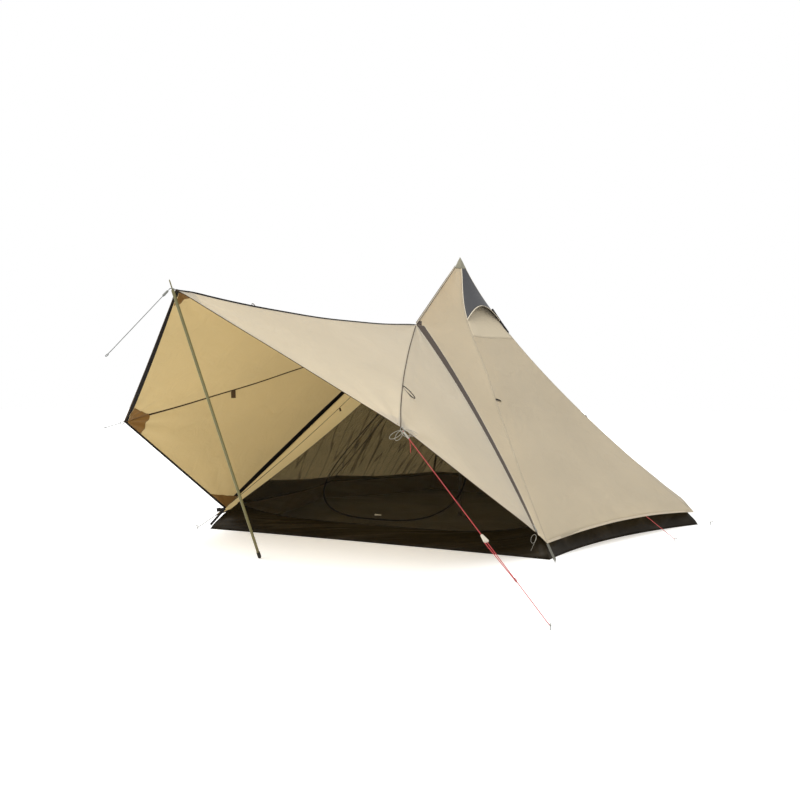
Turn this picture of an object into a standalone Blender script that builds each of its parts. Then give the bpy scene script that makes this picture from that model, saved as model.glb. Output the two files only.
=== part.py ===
"""Pyramid tent on a centre pole, its front doors pitched forward as an awning.

Metres, +Z up. The ground is z = 0 and the origin is under the peak. The doors face -Y.
"""
import math

import bmesh
import bpy
import numpy as np
from mathutils import Matrix, Vector
from mathutils.bvhtree import BVHTree

# Base: six corners on the ground, counted anticlockwise from the front right
FRONT_HALF = 1.60            # half of the front edge
FRONT_DEPTH = 1.75           # peak's foot to the front edge
FRONT_LEFT_DRIFT = (0.10, -0.10)   # how far the front left corner was pegged off its mirror place
SIDE_HALF = 2.10             # half of the width across the side corners
SIDE_DEPTH = 0.60
BACK_HALF = 1.50
BACK_DEPTH = 2.15

# Fly
PEAK_HEIGHT = 2.50
HEM_HEIGHT = 0.11
HEM_SHARE = 0.985            # hem corners, as a share of the base corners
HEM_LIFT = 0.05              # how far a hem rises between its corners
HEM_BOW = 0.02
TOP_DROP = 0.045             # the panels end this far under the peak
TOP_RADIUS = 0.022
RIDGE_PULL = 0.21            # a ridge's control point, as a share of its corner's radius
RIDGE_PULL_HEIGHT = 1.53
FRONT_RIDGE_DRAW = 0.056     # the awning draws the front ridges this far together, most at DRAW_END / 2
DRAW_END = 0.55
CLOTH = 0.0022               # cloth thickness along the inward field
SEAM = 0.0003                # each panel stops this far short of a seam

# Awning
APEX_Y = -0.85               # where the awning's ridge leaves the fly
APEX_Z = 1.79
AWNING_FRONT = (-0.098, -3.717, 1.823)
AWNING_RIGHT = (1.182, -3.111, 0.972)
AWNING_LEFT = (-1.20, -3.10, 0.97)
AWNING_SAG = 0.055
SEAM_SAG = 0.035
SEAM_DRAW = 0.038            # how far the side seams are drawn towards the front middle
SEAM_HEADING = (-0.86, -0.51)
CORNER_CUT = 0.030           # the cloth stops this far short of the pole
DOOR_FOOT_IN = 0.10          # door edge foot, inward from the hem corner
DOOR_FOOT_UP = 0.07
DOOR_EDGE_LIFT = 0.11
STRIP_TOP = 0.075            # zip strip width at the apex and at the hem
STRIP_FOOT = 0.034

# Inner tent
FLOOR = 0.003
FLOOR_RIM = 1.004            # floor outline, as a share of the bathtub wall's foot
FLOOR_BOW = 0.15             # side edges curve in by this much
FLOOR_FRONT_BOW = 0.03
BATHTUB = 0.215              # height of the bathtub's corners
SILL_DIP = 0.10              # how far its front edge drops between them, under the door
INNER_SHARE = HEM_SHARE - 0.395 * BATHTUB   # the wall leans in with its height, to stay inside the fly
INNER_BOW = 0.10
INNER_DROP = 0.28
INNER_TOP_RADIUS = 0.030
INNER_PULL = 0.19
INNER_PULL_HEIGHT = 1.38
PLEAT = 0.006
PLEATS = 4
DOOR_WIDTH = 0.62            # door, as a share of the front wall's width at each height
DOOR_LOW = 0.985
DOOR_HIGH = 0.50
DOOR_GAP = 0.0008

# Poles
CENTRE_RADIUS = 0.014
AWNING_POLE_RADIUS = 0.010
POLE_WALL = 0.0014
NECK = 0.070
FIT = 0.0003
SPIKE = 0.070
SPIKE_RADIUS = 0.004
AWNING_POLE_FOOT = (-0.20, -2.76)
FOOT_WALL = 0.003
FOOT_HEIGHT = 0.035

# Cords, pegs and hardware
CORD_RADIUS = 0.00225
PEG_RADIUS = 0.003
PEG_SHOW = 0.034             # height of a driven peg above the ground
STRAP_WIDTH = 0.018
STRAP = 0.0015
FRONT_RING = 0.013
RING_PLATE = 0.003
RING_RADIUS = 0.014
RING_WIRE = 0.0025
RIGHT_PEG = (2.32, -3.57)
SIDE_PEG = (2.17, -0.50)
FRONT_LINE_END = (-0.154, -4.173, 1.405)
LEFT_LINE_END = (-1.345, -3.136, 0.930)
SIDE_LINE_SHARE = 0.635      # place of the side hem's guy point between its corners
RIGHT_ADJUSTER = 0.60        # adjuster's place along the right line

# Vent
CAP_SHARE = 0.45             # the peak cap covers this share of the panels' first row
VENT_TOP = 0.052
VENT_FOOT = 0.30
VENT_ARCH = 0.030
VENT_BULGE = 0.085
VENT_CLOTH = 0.0018
STRUT_RADIUS = 0.003
STRUT_PLACE = 0.80           # the strut's foot, as a share of the hood's length

# Rows of every panel: the row at APEX_ROW is where the awning leaves the fly
APEX_ROW = 0.35
UPPER_ROWS = 4
LOWER_ROWS = 8
SIDE_COLUMNS = 8

CORNERS = {
    "front_right": (FRONT_HALF, -FRONT_DEPTH),
    "right": (SIDE_HALF, SIDE_DEPTH),
    "back_right": (BACK_HALF, BACK_DEPTH),
    "back_left": (-BACK_HALF, BACK_DEPTH),
    "left": (-SIDE_HALF, SIDE_DEPTH),
    "front_left": (-FRONT_HALF + FRONT_LEFT_DRIFT[0], -FRONT_DEPTH + FRONT_LEFT_DRIFT[1]),
}
CORNER_ORDER = list(CORNERS)
SIDES = {
    "right": ("front_right", "right"),
    "back_right": ("right", "back_right"),
    "back": ("back_right", "back_left"),
    "back_left": ("back_left", "left"),
    "left": ("left", "front_left"),
}


def clear_scene():
    """Remove whatever the scene starts with."""
    for item in list(bpy.data.objects):
        bpy.data.objects.remove(item, do_unlink=True)


def material(name, colour, roughness, metallic=0.0):
    """Return the named Principled material, made on first use."""
    found = bpy.data.materials.get(name)
    if found is None:
        found = bpy.data.materials.new(name)
        found.use_nodes = True
        shader = found.node_tree.nodes["Principled BSDF"]
        shader.inputs["Base Color"].default_value = (*colour, 1.0)
        shader.inputs["Roughness"].default_value = roughness
        shader.inputs["Metallic"].default_value = metallic
    return found


def fly_cloth():
    return material("fly_cloth", (0.62, 0.52, 0.36), 0.75)


def awning_cloth():
    return material("awning_cloth", (0.70, 0.60, 0.44), 0.75)


def dark_cloth():
    return material("dark_cloth", (0.025, 0.020, 0.017), 0.8)


def grey_cloth():
    return material("grey_cloth", (0.09, 0.09, 0.095), 0.7)


def mesh_cloth():
    return material("mesh_cloth", (0.05, 0.045, 0.03), 0.9)


def olive_steel():
    return material("olive_steel", (0.19, 0.19, 0.08), 0.4, 0.5)


def black_rubber():
    return material("black_rubber", (0.02, 0.02, 0.02), 0.7)


def bare_steel():
    return material("bare_steel", (0.5, 0.5, 0.48), 0.35, 1.0)


def grey_plastic():
    return material("grey_plastic", (0.25, 0.25, 0.24), 0.5)


def white_plastic():
    return material("white_plastic", (0.75, 0.75, 0.73), 0.5)


def grey_webbing():
    return material("grey_webbing", (0.35, 0.36, 0.33), 0.8)


def grey_cord():
    return material("grey_cord", (0.33, 0.35, 0.33), 0.8)


def red_cord():
    return material("red_cord", (0.62, 0.05, 0.04), 0.7)


def link(name, mesh, surface, place=None):
    """Add a mesh to the scene as one named sub-part."""
    item = bpy.data.objects.new(name, mesh)
    mesh.materials.append(surface)
    bpy.context.scene.collection.objects.link(item)
    if place is not None:
        item.matrix_world = place
    return item


def close_mesh(name, points, faces):
    """Make a mesh whose faces all point out."""
    mesh = bpy.data.meshes.new(name)
    mesh.from_pydata([tuple(point) for point in points], [], [tuple(face) for face in faces])
    work = bmesh.new()
    work.from_mesh(mesh)
    bmesh.ops.recalc_face_normals(work, faces=work.faces)
    work.to_mesh(mesh)
    work.free()
    return mesh


def inward(points):
    """Unit directions into the tent, the same for every panel, so that seams stay mitred."""
    points = np.asarray(points, dtype=float)
    field = np.empty_like(points)
    field[..., 0] = -points[..., 0]
    field[..., 1] = -0.6 * np.maximum(points[..., 1], -1.0)
    field[..., 2] = -1.0
    return field / np.linalg.norm(field, axis=-1, keepdims=True)


def towards_axis(points):
    """Unit horizontal directions towards the tent's axis."""
    points = np.asarray(points, dtype=float)
    field = -points * np.array([1.0, 1.0, 0.0])
    return field / np.linalg.norm(field, axis=-1, keepdims=True)


def sheet_solid(name, outer, surface, thickness=CLOTH, field=inward, wrap=False):
    """Give a grid of points a thickness: outer face, inner face and the cut edges.

    wrap joins the last column to the first, for a wall that runs all the way round. Both faces split
    their twisted squares along the same diagonal, so that they never meet.
    """
    outer = np.asarray(outer, dtype=float)
    rows, columns = outer.shape[:2]
    inner = outer + thickness * field(outer)
    points = np.concatenate([outer.reshape(-1, 3), inner.reshape(-1, 3)])
    shift = rows * columns
    spans = columns if wrap else columns - 1

    def at(row, column):
        return row * columns + column % columns

    faces = []
    for row in range(rows - 1):
        for column in range(spans):
            quad = [at(row, column), at(row + 1, column), at(row + 1, column + 1), at(row, column + 1)]
            for half in (quad[:3], [quad[0], *quad[2:]]):
                faces.append(half)
                faces.append([corner + shift for corner in reversed(half)])
    for column in range(spans):
        for row, order in ((0, 1), (rows - 1, -1)):
            edge = [at(row, column), at(row, column + 1)][::order]
            faces.append([edge[0], edge[1], edge[1] + shift, edge[0] + shift])
    if not wrap:
        for row in range(rows - 1):
            for column, order in ((0, -1), (columns - 1, 1)):
                edge = [at(row, column), at(row + 1, column)][::order]
                faces.append([edge[0], edge[1], edge[1] + shift, edge[0] + shift])
    return link(name, close_mesh(name, points, faces), surface)


def revolve(name, profile, surface, base, direction, sides=16):
    """Turn a profile of (radius, height) about the line from base along direction.

    A profile that starts and ends at radius 0 is a solid of revolution; any other is closed on itself.
    """
    on_axis = profile[0][0] == 0.0
    points = []
    rings = []
    for radius, height in profile:
        if radius == 0.0:
            rings.append([len(points)] * sides)
            points.append((0.0, 0.0, height))
        else:
            rings.append(list(range(len(points), len(points) + sides)))
            for step in range(sides):
                angle = 2 * math.pi * step / sides
                points.append((radius * math.cos(angle), radius * math.sin(angle), height))
    pairs = list(zip(rings, rings[1:]))
    if not on_axis:
        pairs.append((rings[-1], rings[0]))
    faces = []
    for low, high in pairs:
        for step in range(sides):
            after = (step + 1) % sides
            corners = [low[step], low[after], high[after], high[step]]
            face = list(dict.fromkeys(corners))
            if len(face) > 2:
                faces.append(face)
    turn = Vector((0, 0, 1)).rotation_difference(Vector(direction)).to_matrix().to_4x4()
    place = Matrix.Translation(Vector(base)) @ turn
    mesh = close_mesh(name, points, faces)
    mesh.shade_smooth()
    mesh.set_sharp_from_angle(angle=math.radians(40))
    return link(name, mesh, surface, place)


def plate(name, outline, holes, thickness, surface, place):
    """Extrude a flat outline with holes. It lies in its own XY plane, from z = 0 to the thickness."""
    work = bmesh.new()
    edges = []
    for loop in [outline, *holes]:
        ring = [work.verts.new((x, y, 0.0)) for x, y in loop]
        edges += [work.edges.new((a, b)) for a, b in zip(ring, ring[1:] + ring[:1])]
    bmesh.ops.triangle_fill(work, use_beauty=True, use_dissolve=False, edges=edges)
    grown = bmesh.ops.extrude_face_region(work, geom=list(work.faces))
    moved = [part for part in grown["geom"] if isinstance(part, bmesh.types.BMVert)]
    bmesh.ops.translate(work, verts=moved, vec=(0.0, 0.0, thickness))
    bmesh.ops.recalc_face_normals(work, faces=work.faces)
    mesh = bpy.data.meshes.new(name)
    work.to_mesh(mesh)
    work.free()
    return link(name, mesh, surface, place)


def circle(radius, centre=(0.0, 0.0), sides=16):
    """Points of a circle, anticlockwise."""
    turns = [2 * math.pi * step / sides for step in range(sides)]
    return [(centre[0] + radius * math.cos(a), centre[1] + radius * math.sin(a)) for a in turns]


def smooth_route(stops, count):
    """Read count points from one smooth curve through the stops (Catmull-Rom)."""
    stops = [np.array(stop, dtype=float) for stop in stops]
    ends = [2 * stops[0] - stops[1], *stops, 2 * stops[-1] - stops[-2]]
    places = np.linspace(0, len(stops) - 1, count)
    route = []
    for place in places:
        leg = min(int(place), len(stops) - 2)
        t = place - leg
        a, b, c, d = ends[leg:leg + 4]
        route.append(0.5 * (2 * b + (c - a) * t + (2 * a - 5 * b + 4 * c - d) * t ** 2
                            + (3 * b - a - 3 * c + d) * t ** 3))
    return route


def tube(name, route, radius, surface, fineness=2):
    """A round rod or cord along a route, with capped ends."""
    curve = bpy.data.curves.new(name, "CURVE")
    curve.dimensions = "3D"
    curve.bevel_depth = radius
    curve.bevel_resolution = fineness
    curve.use_fill_caps = True
    spline = curve.splines.new("POLY")
    spline.points.add(len(route) - 1)
    for point, place in zip(spline.points, route):
        point.co = (*place, 1.0)
    item = bpy.data.objects.new(name, curve)
    curve.materials.append(surface)
    bpy.context.scene.collection.objects.link(item)
    return item


def frame_along(origin, along, side):
    """A placement whose X runs along one direction, with Y near another."""
    x_axis = Vector(along).normalized()
    z_axis = x_axis.cross(Vector(side)).normalized()
    y_axis = z_axis.cross(x_axis)
    turn = Matrix((x_axis, y_axis, z_axis)).transposed().to_4x4()
    return Matrix.Translation(Vector(origin)) @ turn


def ridge(corner, u, start, pull, pull_height, share, foot):
    """A ridge seam: a quadratic curve from the top ring to a base corner, drawn in like hung cloth.

    u runs from 0 at the top to 1 at the foot. start is (radius, height) of the top ring.
    """
    reach = math.hypot(*CORNERS[corner])
    heading = np.array([CORNERS[corner][0] / reach, CORNERS[corner][1] / reach])
    a, b, c = (1 - u) ** 2, 2 * u * (1 - u), u ** 2
    radius = a * start[0] + b * pull * reach + c * share * reach
    height = a * start[1] + b * pull_height + c * foot
    return np.array([heading[0] * radius, heading[1] * radius, height])


def fly_ridge(corner, u):
    start = (TOP_RADIUS, PEAK_HEIGHT - TOP_DROP)
    point = ridge(corner, u, start, RIDGE_PULL, RIDGE_PULL_HEIGHT, HEM_SHARE, HEM_HEIGHT)
    if corner in ("front_right", "front_left"):
        x, y = np.array(CORNERS[corner]) / math.hypot(*CORNERS[corner])
        hand = 1 if corner == "front_right" else -1
        draw = FRONT_RIDGE_DRAW * math.sin(math.pi * min(u / DRAW_END, 1.0)) ** 2
        point += np.array([hand * y, -hand * x, 0.0]) * draw
    return point


def inner_ridge(corner, u):
    start = (INNER_TOP_RADIUS, PEAK_HEIGHT - INNER_DROP)
    return ridge(corner, u, start, INNER_PULL, INNER_PULL_HEIGHT, INNER_SHARE, BATHTUB)


def across(start, end, count, inset=SEAM):
    """Points on the straight line between two seams, stopping short of both."""
    span = np.linalg.norm(end - start)
    edge = inset / span
    return [start + (end - start) * v for v in np.linspace(edge, 1 - edge, count)]


def side_inward(first, second):
    """Unit horizontal direction into the tent, square to a base edge."""
    a = np.array(CORNERS[first])
    b = np.array(CORNERS[second])
    square = np.array([-(b - a)[1], (b - a)[0]])
    square /= np.linalg.norm(square)
    return np.array([square[0], square[1], 0.0])


def hem_shape(row_points, first, second, u, bow, lift):
    """Draw a row of a panel in and up between its corners, more towards the hem."""
    square = side_inward(first, second)
    shares = np.linspace(0, 1, len(row_points))
    arch = 4 * shares * (1 - shares)
    shaped = np.array(row_points)
    shaped += np.outer(arch * bow * u ** 2, square)
    shaped[:, 2] += arch * lift * u ** 3
    return shaped


PANEL_ROWS = [*np.linspace(0, APEX_ROW, UPPER_ROWS + 1), *np.linspace(APEX_ROW, 1, LOWER_ROWS + 1)[1:]]
EDGE_ROWS = list(np.linspace(0, 1, LOWER_ROWS + 1))
APEX_START = 0.015           # the awning's panels start this share of the way along their seams


def fly_panel_point(side, u, v):
    """Point of a full fly panel, v from its first corner to its second."""
    first, second = SIDES[side]
    point = fly_ridge(first, u) * (1 - v) + fly_ridge(second, u) * v
    arch = 4 * v * (1 - v)
    point = point + side_inward(first, second) * arch * HEM_BOW * u ** 2
    point[2] += arch * HEM_LIFT * u ** 3
    return point


def fly_facet_point(side, u, v):
    """The same point on the panel as built, flat between its rows."""
    after = next(k for k in range(1, len(PANEL_ROWS)) if PANEL_ROWS[k] >= u)
    low, high = PANEL_ROWS[after - 1], PANEL_ROWS[after]
    share = (u - low) / (high - low)
    return fly_panel_point(side, low, v) * (1 - share) + fly_panel_point(side, high, v) * share


def build_fly_panels():
    for side, (first, second) in SIDES.items():
        grid = []
        for u in PANEL_ROWS:
            row = across(fly_ridge(first, u), fly_ridge(second, u), SIDE_COLUMNS + 1)
            grid.append(hem_shape(row, first, second, u, HEM_BOW, HEM_LIFT))
        sheet_solid("fly_" + side, grid, fly_cloth())


APEX = np.array([0.0, APEX_Y, APEX_Z])


def door_foot(hand):
    """Lower end of a door edge, beside the hem corner. hand is 1 on the right and -1 on the left."""
    corner = "front_right" if hand > 0 else "front_left"
    hem = fly_ridge(corner, 1.0)
    return hem + np.array([-hand * DOOR_FOOT_IN, 0.02, DOOR_FOOT_UP])


def door_edge(hand, t):
    """The zipped edge from the apex down to the door's foot, drawn slightly back."""
    foot = door_foot(hand)
    middle = (APEX + foot) / 2 + np.array([0.0, DOOR_EDGE_LIFT, DOOR_EDGE_LIFT * 0.9])
    return (1 - t) ** 2 * APEX + 2 * t * (1 - t) * middle + t ** 2 * foot


def front_line(hand, u):
    """Inner border of a narrow front panel: the centre seam down to the apex, then the door edge."""
    top = fly_ridge("front_right", 0.0)
    start = np.array([0.0, top[1], top[2]])
    if u <= APEX_ROW:
        share = u / APEX_ROW
        return start + (APEX - start) * share
    return door_edge(hand, (u - APEX_ROW) / (1 - APEX_ROW))


def strip_share(hand, u):
    """Share of a front panel's width that the zip strip takes in row u."""
    corner = "front_right" if hand > 0 else "front_left"
    width = np.linalg.norm(fly_ridge(corner, u) - front_line(hand, u))
    depth = (u - APEX_ROW) / (1 - APEX_ROW)
    return (STRIP_TOP + (STRIP_FOOT - STRIP_TOP) * depth) / width


def front_row(hand, u, low, high, count):
    """A row of a front panel between two shares of its width, short of both by the seam gap."""
    corner = "front_right" if hand > 0 else "front_left"
    start = front_line(hand, u)
    end = fly_ridge(corner, u)
    return across(start + (end - start) * low, start + (end - start) * high, count)


def strip_rows():
    """Rows of a zip strip, which starts just under the apex."""
    return [APEX_ROW + 0.0008, *[u for u in PANEL_ROWS if u > APEX_ROW]]


def build_front_panels():
    """The narrow panels beside the door, and the dark zip strips along its edges."""
    step = 0.002
    for hand, label in ((1, "right"), (-1, "left")):
        rows = sorted([*PANEL_ROWS, APEX_ROW - step])
        grid = []
        for u in rows:
            low = strip_share(hand, u) if u >= APEX_ROW else 0.0
            grid.append(front_row(hand, u, low, 1.0, 4))
        sheet_solid("fly_front_" + label, grid, fly_cloth())
        strip = [front_row(hand, u, 0.0, strip_share(hand, u), 3) for u in strip_rows()]
        sheet_solid("door_zip_" + label, strip, grey_cloth())


def awning_front():
    """Front corner of the awning cloth, cut back from the pole towards the apex."""
    tip = np.array(AWNING_FRONT)
    back = APEX - tip
    return tip + back / np.linalg.norm(back) * CORNER_CUT


def awning_corner(hand):
    """Side corner of the awning. hand is 1 on the right and -1 on the left."""
    return np.array(AWNING_RIGHT if hand > 0 else AWNING_LEFT)


def sagged(start, end, t, sag):
    """A seam that hangs between its ends."""
    point = start + (end - start) * t
    point[2] -= sag * 4 * t * (1 - t)
    return point


def side_seam(hand, t):
    """The awning's seam from the apex to a side corner: it hangs, and its cloth draws it forward."""
    draw = 4 * t * (1 - t) * SEAM_DRAW
    point = sagged(APEX, awning_corner(hand), t, SEAM_SAG)
    return point + np.array([hand * SEAM_HEADING[0] * draw, SEAM_HEADING[1] * draw, 0.0])


def awning_rows():
    return [APEX_START, *EDGE_ROWS[1:]]


def build_awning():
    """Two top panels from the ridge out to the side seams, two side panels down to the door edges."""
    for hand, label in ((1, "right"), (-1, "left")):
        top = []
        side = []
        for t in awning_rows():
            ridge_point = sagged(APEX, awning_front(), t, AWNING_SAG)
            seam_point = side_seam(hand, t)
            top.append(across(ridge_point, seam_point, 7))
            side.append(across(seam_point, door_edge(hand, t), 7))
        sheet_solid("awning_top_" + label, top, awning_cloth())
        sheet_solid("awning_side_" + label, side, awning_cloth())


def cap_corners(share):
    """The panels' seams at a share of their first row, with the front seam between the doors."""
    points = []
    for corner in CORNER_ORDER:
        points.append(fly_ridge(corner, 0.0) * (1 - share) + fly_ridge(corner, PANEL_ROWS[1]) * share)
    points.append(front_line(1, 0.0) * (1 - share) + front_line(1, PANEL_ROWS[1]) * share)
    return points


def build_peak_cap():
    """Reinforced cap over the panels' upper ends: a thin pyramid with the fly's own corners."""
    gap, wall = 0.0018, 0.0014
    outer = []
    inner = []
    levels = (CAP_SHARE, CAP_SHARE / 2, 0.0)
    for share in levels:
        for point in cap_corners(share):
            heading = -towards_axis(point)
            inner.append(point + heading * gap)
            outer.append(point + heading * (gap + wall))
    count = len(cap_corners(0.0))
    peak = np.array([0.0, 0.0, PEAK_HEIGHT])
    under = peak - np.array([0.0, 0.0, 2.6 * wall])
    points = [*outer, peak, *inner, under]
    shift = len(outer) + 1
    top = len(outer) - count
    faces = []
    seam = count - 1
    for k in range(count):
        after = (k + 1) % count
        for base in (0, shift):
            for low in range(base, base + top, count):
                quad = [low + k, low + after, low + count + after, low + count + k]
                if after == seam:
                    quad = [*quad[1:], quad[0]]
                faces += [quad[:3], [quad[0], *quad[2:]]]
            faces.append([base + top + k, base + top + after, base + top + count])
        faces.append([k, after, shift + after, shift + k])
    link("peak_cap", close_mesh("peak_cap", points, faces), fly_cloth())


def inner_outline(first, second, count, share, bow):
    """Plan points along one base edge of the inner tent, curved in between the corners."""
    a = np.array([*CORNERS[first], 0.0]) * share
    b = np.array([*CORNERS[second], 0.0]) * share
    square = side_inward(first, second)
    shares = np.linspace(0, 1, count, endpoint=False)
    return [a + (b - a) * v + square * bow * 4 * v * (1 - v) for v in shares]


def all_round(share, bow, front_bow, count=12):
    """Plan points right round the inner tent, anticlockwise from the front right corner."""
    points = []
    for k, first in enumerate(CORNER_ORDER):
        second = CORNER_ORDER[(k + 1) % len(CORNER_ORDER)]
        depth = front_bow if first == "front_left" else bow
        points += inner_outline(first, second, count, share, depth)
    return np.array(points)


def sill_arch(v):
    """The front sill's drop between its corners: 0 at both, and 1 in the middle, where it is level."""
    return 1 - (2 * v - 1) ** 4


def build_floor():
    rim = all_round(FLOOR_RIM, FLOOR_BOW, FLOOR_FRONT_BOW)
    outline = [(x, y) for x, y, _ in rim]
    plate("inner_floor", outline, [], FLOOR, dark_cloth(), Matrix.Identity(4))
    foot = all_round(1.0, FLOOR_BOW, FLOOR_FRONT_BOW)
    head = all_round(INNER_SHARE, INNER_BOW, HEM_BOW)
    low = FLOOR + FIT
    high = BATHTUB - CLOTH - SEAM
    rows = []
    for share in (0.0, 0.45, 1.0):
        row = foot + (head - foot) * share
        row[:, 2] = low + (high - low) * share ** 0.8
        row[-12:, 2] -= SILL_DIP * share * sill_arch(np.linspace(0, 1, 12, endpoint=False))
        rows.append(row)
    sheet_solid("bathtub_wall", rows, dark_cloth(), field=towards_axis, wrap=True)


def inner_rows():
    return list(np.linspace(0, 1, 10))


def build_inner_walls():
    """Five mesh walls, hung with shallow upright pleats that die out at their edges."""
    columns = 4 * PLEATS + 1
    for side, (first, second) in SIDES.items():
        grid = []
        for u in inner_rows():
            row = across(inner_ridge(first, u), inner_ridge(second, u), columns)
            row = hem_shape(row, first, second, u, INNER_BOW, 0.0)
            shares = np.linspace(0, 1, columns)
            fade = np.sin(math.pi * shares) * math.sin(math.pi * u)
            waves = PLEAT * fade * np.sin(2 * math.pi * PLEATS * shares)
            row += np.outer(waves, side_inward(first, second))
            grid.append(row)
        sheet_solid("inner_wall_" + side, grid, mesh_cloth())


def inner_facet(corner, u):
    """A point on an inner ridge as built, straight between its rows."""
    rows = inner_rows()
    after = next(k for k in range(1, len(rows)) if rows[k] >= u)
    share = (u - rows[after - 1]) / (rows[after] - rows[after - 1])
    return inner_ridge(corner, rows[after - 1]) * (1 - share) + inner_ridge(corner, rows[after]) * share


def front_wall_point(u, v):
    """Point of the inner front wall, v from the front left ridge to the front right one."""
    left = inner_facet("front_left", u)
    right = inner_facet("front_right", u)
    point = left + (right - left) * v
    point = point + side_inward("front_left", "front_right") * HEM_BOW * 4 * v * (1 - v) * u ** 2
    point[2] -= SILL_DIP * sill_arch(v) * u ** 4
    return point


DOOR_CENTRE = ((DOOR_LOW + DOOR_HIGH) / 2, 0.5)
DOOR_HALF = ((DOOR_LOW - DOOR_HIGH) / 2, DOOR_WIDTH / 2)


def door_ray(du, dv, size=(1.0, 1.0)):
    """The D door's outline in the wall's own (u, v) terms, on the ray from its centre."""
    power = 2.8
    reach = (abs(du / DOOR_HALF[0]) ** power + abs(dv / DOOR_HALF[1]) ** power) ** (-1 / power)
    return DOOR_CENTRE[0] + du * reach * size[0], DOOR_CENTRE[1] + dv * reach * size[1]


def wall_border():
    """The front wall's edge in (u, v): down its left side, along the foot, up its right side."""
    rows = inner_rows()
    foot = np.linspace(0, 1, 13)[1:-1]
    head = (0.75, 0.5, 0.25)
    return ([(u, 0.0) for u in rows] + [(1.0, v) for v in foot]
            + [(u, 1.0) for u in reversed(rows)] + [(0.0, v) for v in head])


def build_inner_front():
    """The mesh front wall round its door hole, and the D door that fills the hole."""
    border = wall_border()
    rays = [(u - DOOR_CENTRE[0], v - DOOR_CENTRE[1]) for u, v in border]
    loop = [door_ray(du, dv) for du, dv in rays]
    rows = []
    for share in (0.0, 0.35, 0.7, 1.0):
        row = []
        for (u0, v0), (u1, v1) in zip(loop, border):
            u = u0 + (u1 - u0) * share
            v = v0 + (v1 - v0) * share
            width = np.linalg.norm(front_wall_point(u, 1.0) - front_wall_point(u, 0.0))
            edge = SEAM / width
            row.append(front_wall_point(u, min(max(v, edge), 1 - edge)))
        rows.append(row)
    sheet_solid("inner_front", np.array(rows), mesh_cloth(), wrap=True)

    size = (1 - DOOR_GAP / (DOOR_HALF[0] * 2.2), 1 - DOOR_GAP / (DOOR_HALF[1] * 2.0))
    count = len(loop)
    outer = []
    for share in (1.0, 0.66, 0.33):
        for du, dv in rays:
            u, v = door_ray(du, dv, size)
            outer.append(front_wall_point(DOOR_CENTRE[0] + (u - DOOR_CENTRE[0]) * share,
                                          DOOR_CENTRE[1] + (v - DOOR_CENTRE[1]) * share))
    outer.append(front_wall_point(*DOOR_CENTRE))
    outer = np.array(outer)
    inner = outer + CLOTH * inward(outer)
    shift = len(outer)
    faces = []
    for k in range(count):
        after = (k + 1) % count
        for base in (0, shift):
            for low in (base, base + count):
                faces.append([low + k, low + after, low + count + after])
                faces.append([low + k, low + count + after, low + count + k])
            faces.append([base + 2 * count + k, base + 2 * count + after, base + 3 * count])
        faces.append([k, after, shift + after, shift + k])
    points = np.concatenate([outer, inner])
    top = door_hinge()[0]
    mesh = close_mesh("inner_door", [point - top for point in points], faces)
    link("inner_door", mesh, mesh_cloth(), Matrix.Translation(Vector(top)))


def door_hinge():
    """Upper and lower points of the sewn side that the inner door swings on."""
    upper = door_ray(-0.30, -1.0)
    lower = door_ray(0.30, -1.0)
    return front_wall_point(*upper), front_wall_point(*lower)


def tube_section(name, radius, low, high, surface, base, direction):
    """One pole section: an open tube with a swaged neck that plugs into the next one."""
    bore = radius - POLE_WALL
    neck = bore - FIT
    neck_bore = neck - POLE_WALL
    profile = [
        (bore, low), (radius, low), (radius, high), (neck, high), (neck, high + NECK),
        (neck_bore, high + NECK), (neck_bore, high), (bore, high - 2 * POLE_WALL),
    ]
    revolve(name, profile, surface, base, direction)


def build_centre_pole():
    """Three sections from a flat foot on the floor up into the peak cap."""
    base = (0.0, 0.0, 0.0)
    up = (0.0, 0.0, 1.0)
    floor_top = FLOOR + FIT
    start = floor_top + FOOT_WALL + FIT
    shoulder = PEAK_HEIGHT - TOP_DROP - 0.02
    length = (shoulder - start) / 3
    outer = CENTRE_RADIUS
    for k, label in enumerate(("lower", "middle")):
        low = start + k * (length) + k * FIT
        tube_section("centre_pole_" + label, outer, low, start + (k + 1) * length, olive_steel(), base, up)
    low = start + 2 * length + 2 * FIT
    bore = outer - POLE_WALL
    tip = PEAK_HEIGHT - 0.0056
    profile = [
        (0.0, tip), (0.0010, tip - 0.002), (0.004, tip - 0.016), (outer * 0.55, shoulder + 0.012), (outer, shoulder),
        (outer, low), (bore, low), (bore, shoulder - 0.02), (0.0, shoulder - 0.02),
    ]
    revolve("centre_pole_upper", profile, olive_steel(), base, up)
    pole_foot("centre_pole_foot", outer, floor_top, floor_top + FOOT_WALL, base, up, domed=False)


def pole_foot(name, radius, bottom, seat, base, direction, domed):
    """A rubber cup round a pole's lower end, flat underneath or domed for a leaning pole."""
    outer = radius + FOOT_WALL
    bore = radius + FIT
    top = seat + FOOT_HEIGHT
    if domed:
        centre = bottom + outer
        arc = [math.radians(a) for a in (22, 45, 68)]
        sole = [(0.0, bottom)] + [(outer * math.sin(a), centre - outer * math.cos(a)) for a in arc]
        sole.append((outer, centre))
    else:
        sole = [(0.0, bottom), (outer + 0.004, bottom), (outer + 0.004, bottom + 0.004), (outer, bottom + 0.006)]
    profile = [*sole, (outer, top), (bore, top), (bore, seat), (0.0, seat)]
    revolve(name, profile, black_rubber(), base, direction)


def awning_pole_line():
    """Foot centre, unit direction and length up to the shoulder of the leaning awning pole."""
    outer = AWNING_POLE_RADIUS + FOOT_WALL
    foot = np.array([*AWNING_POLE_FOOT, outer])
    top = np.array(AWNING_FRONT)
    line = top - foot
    length = np.linalg.norm(line)
    return foot, line / length, length


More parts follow.
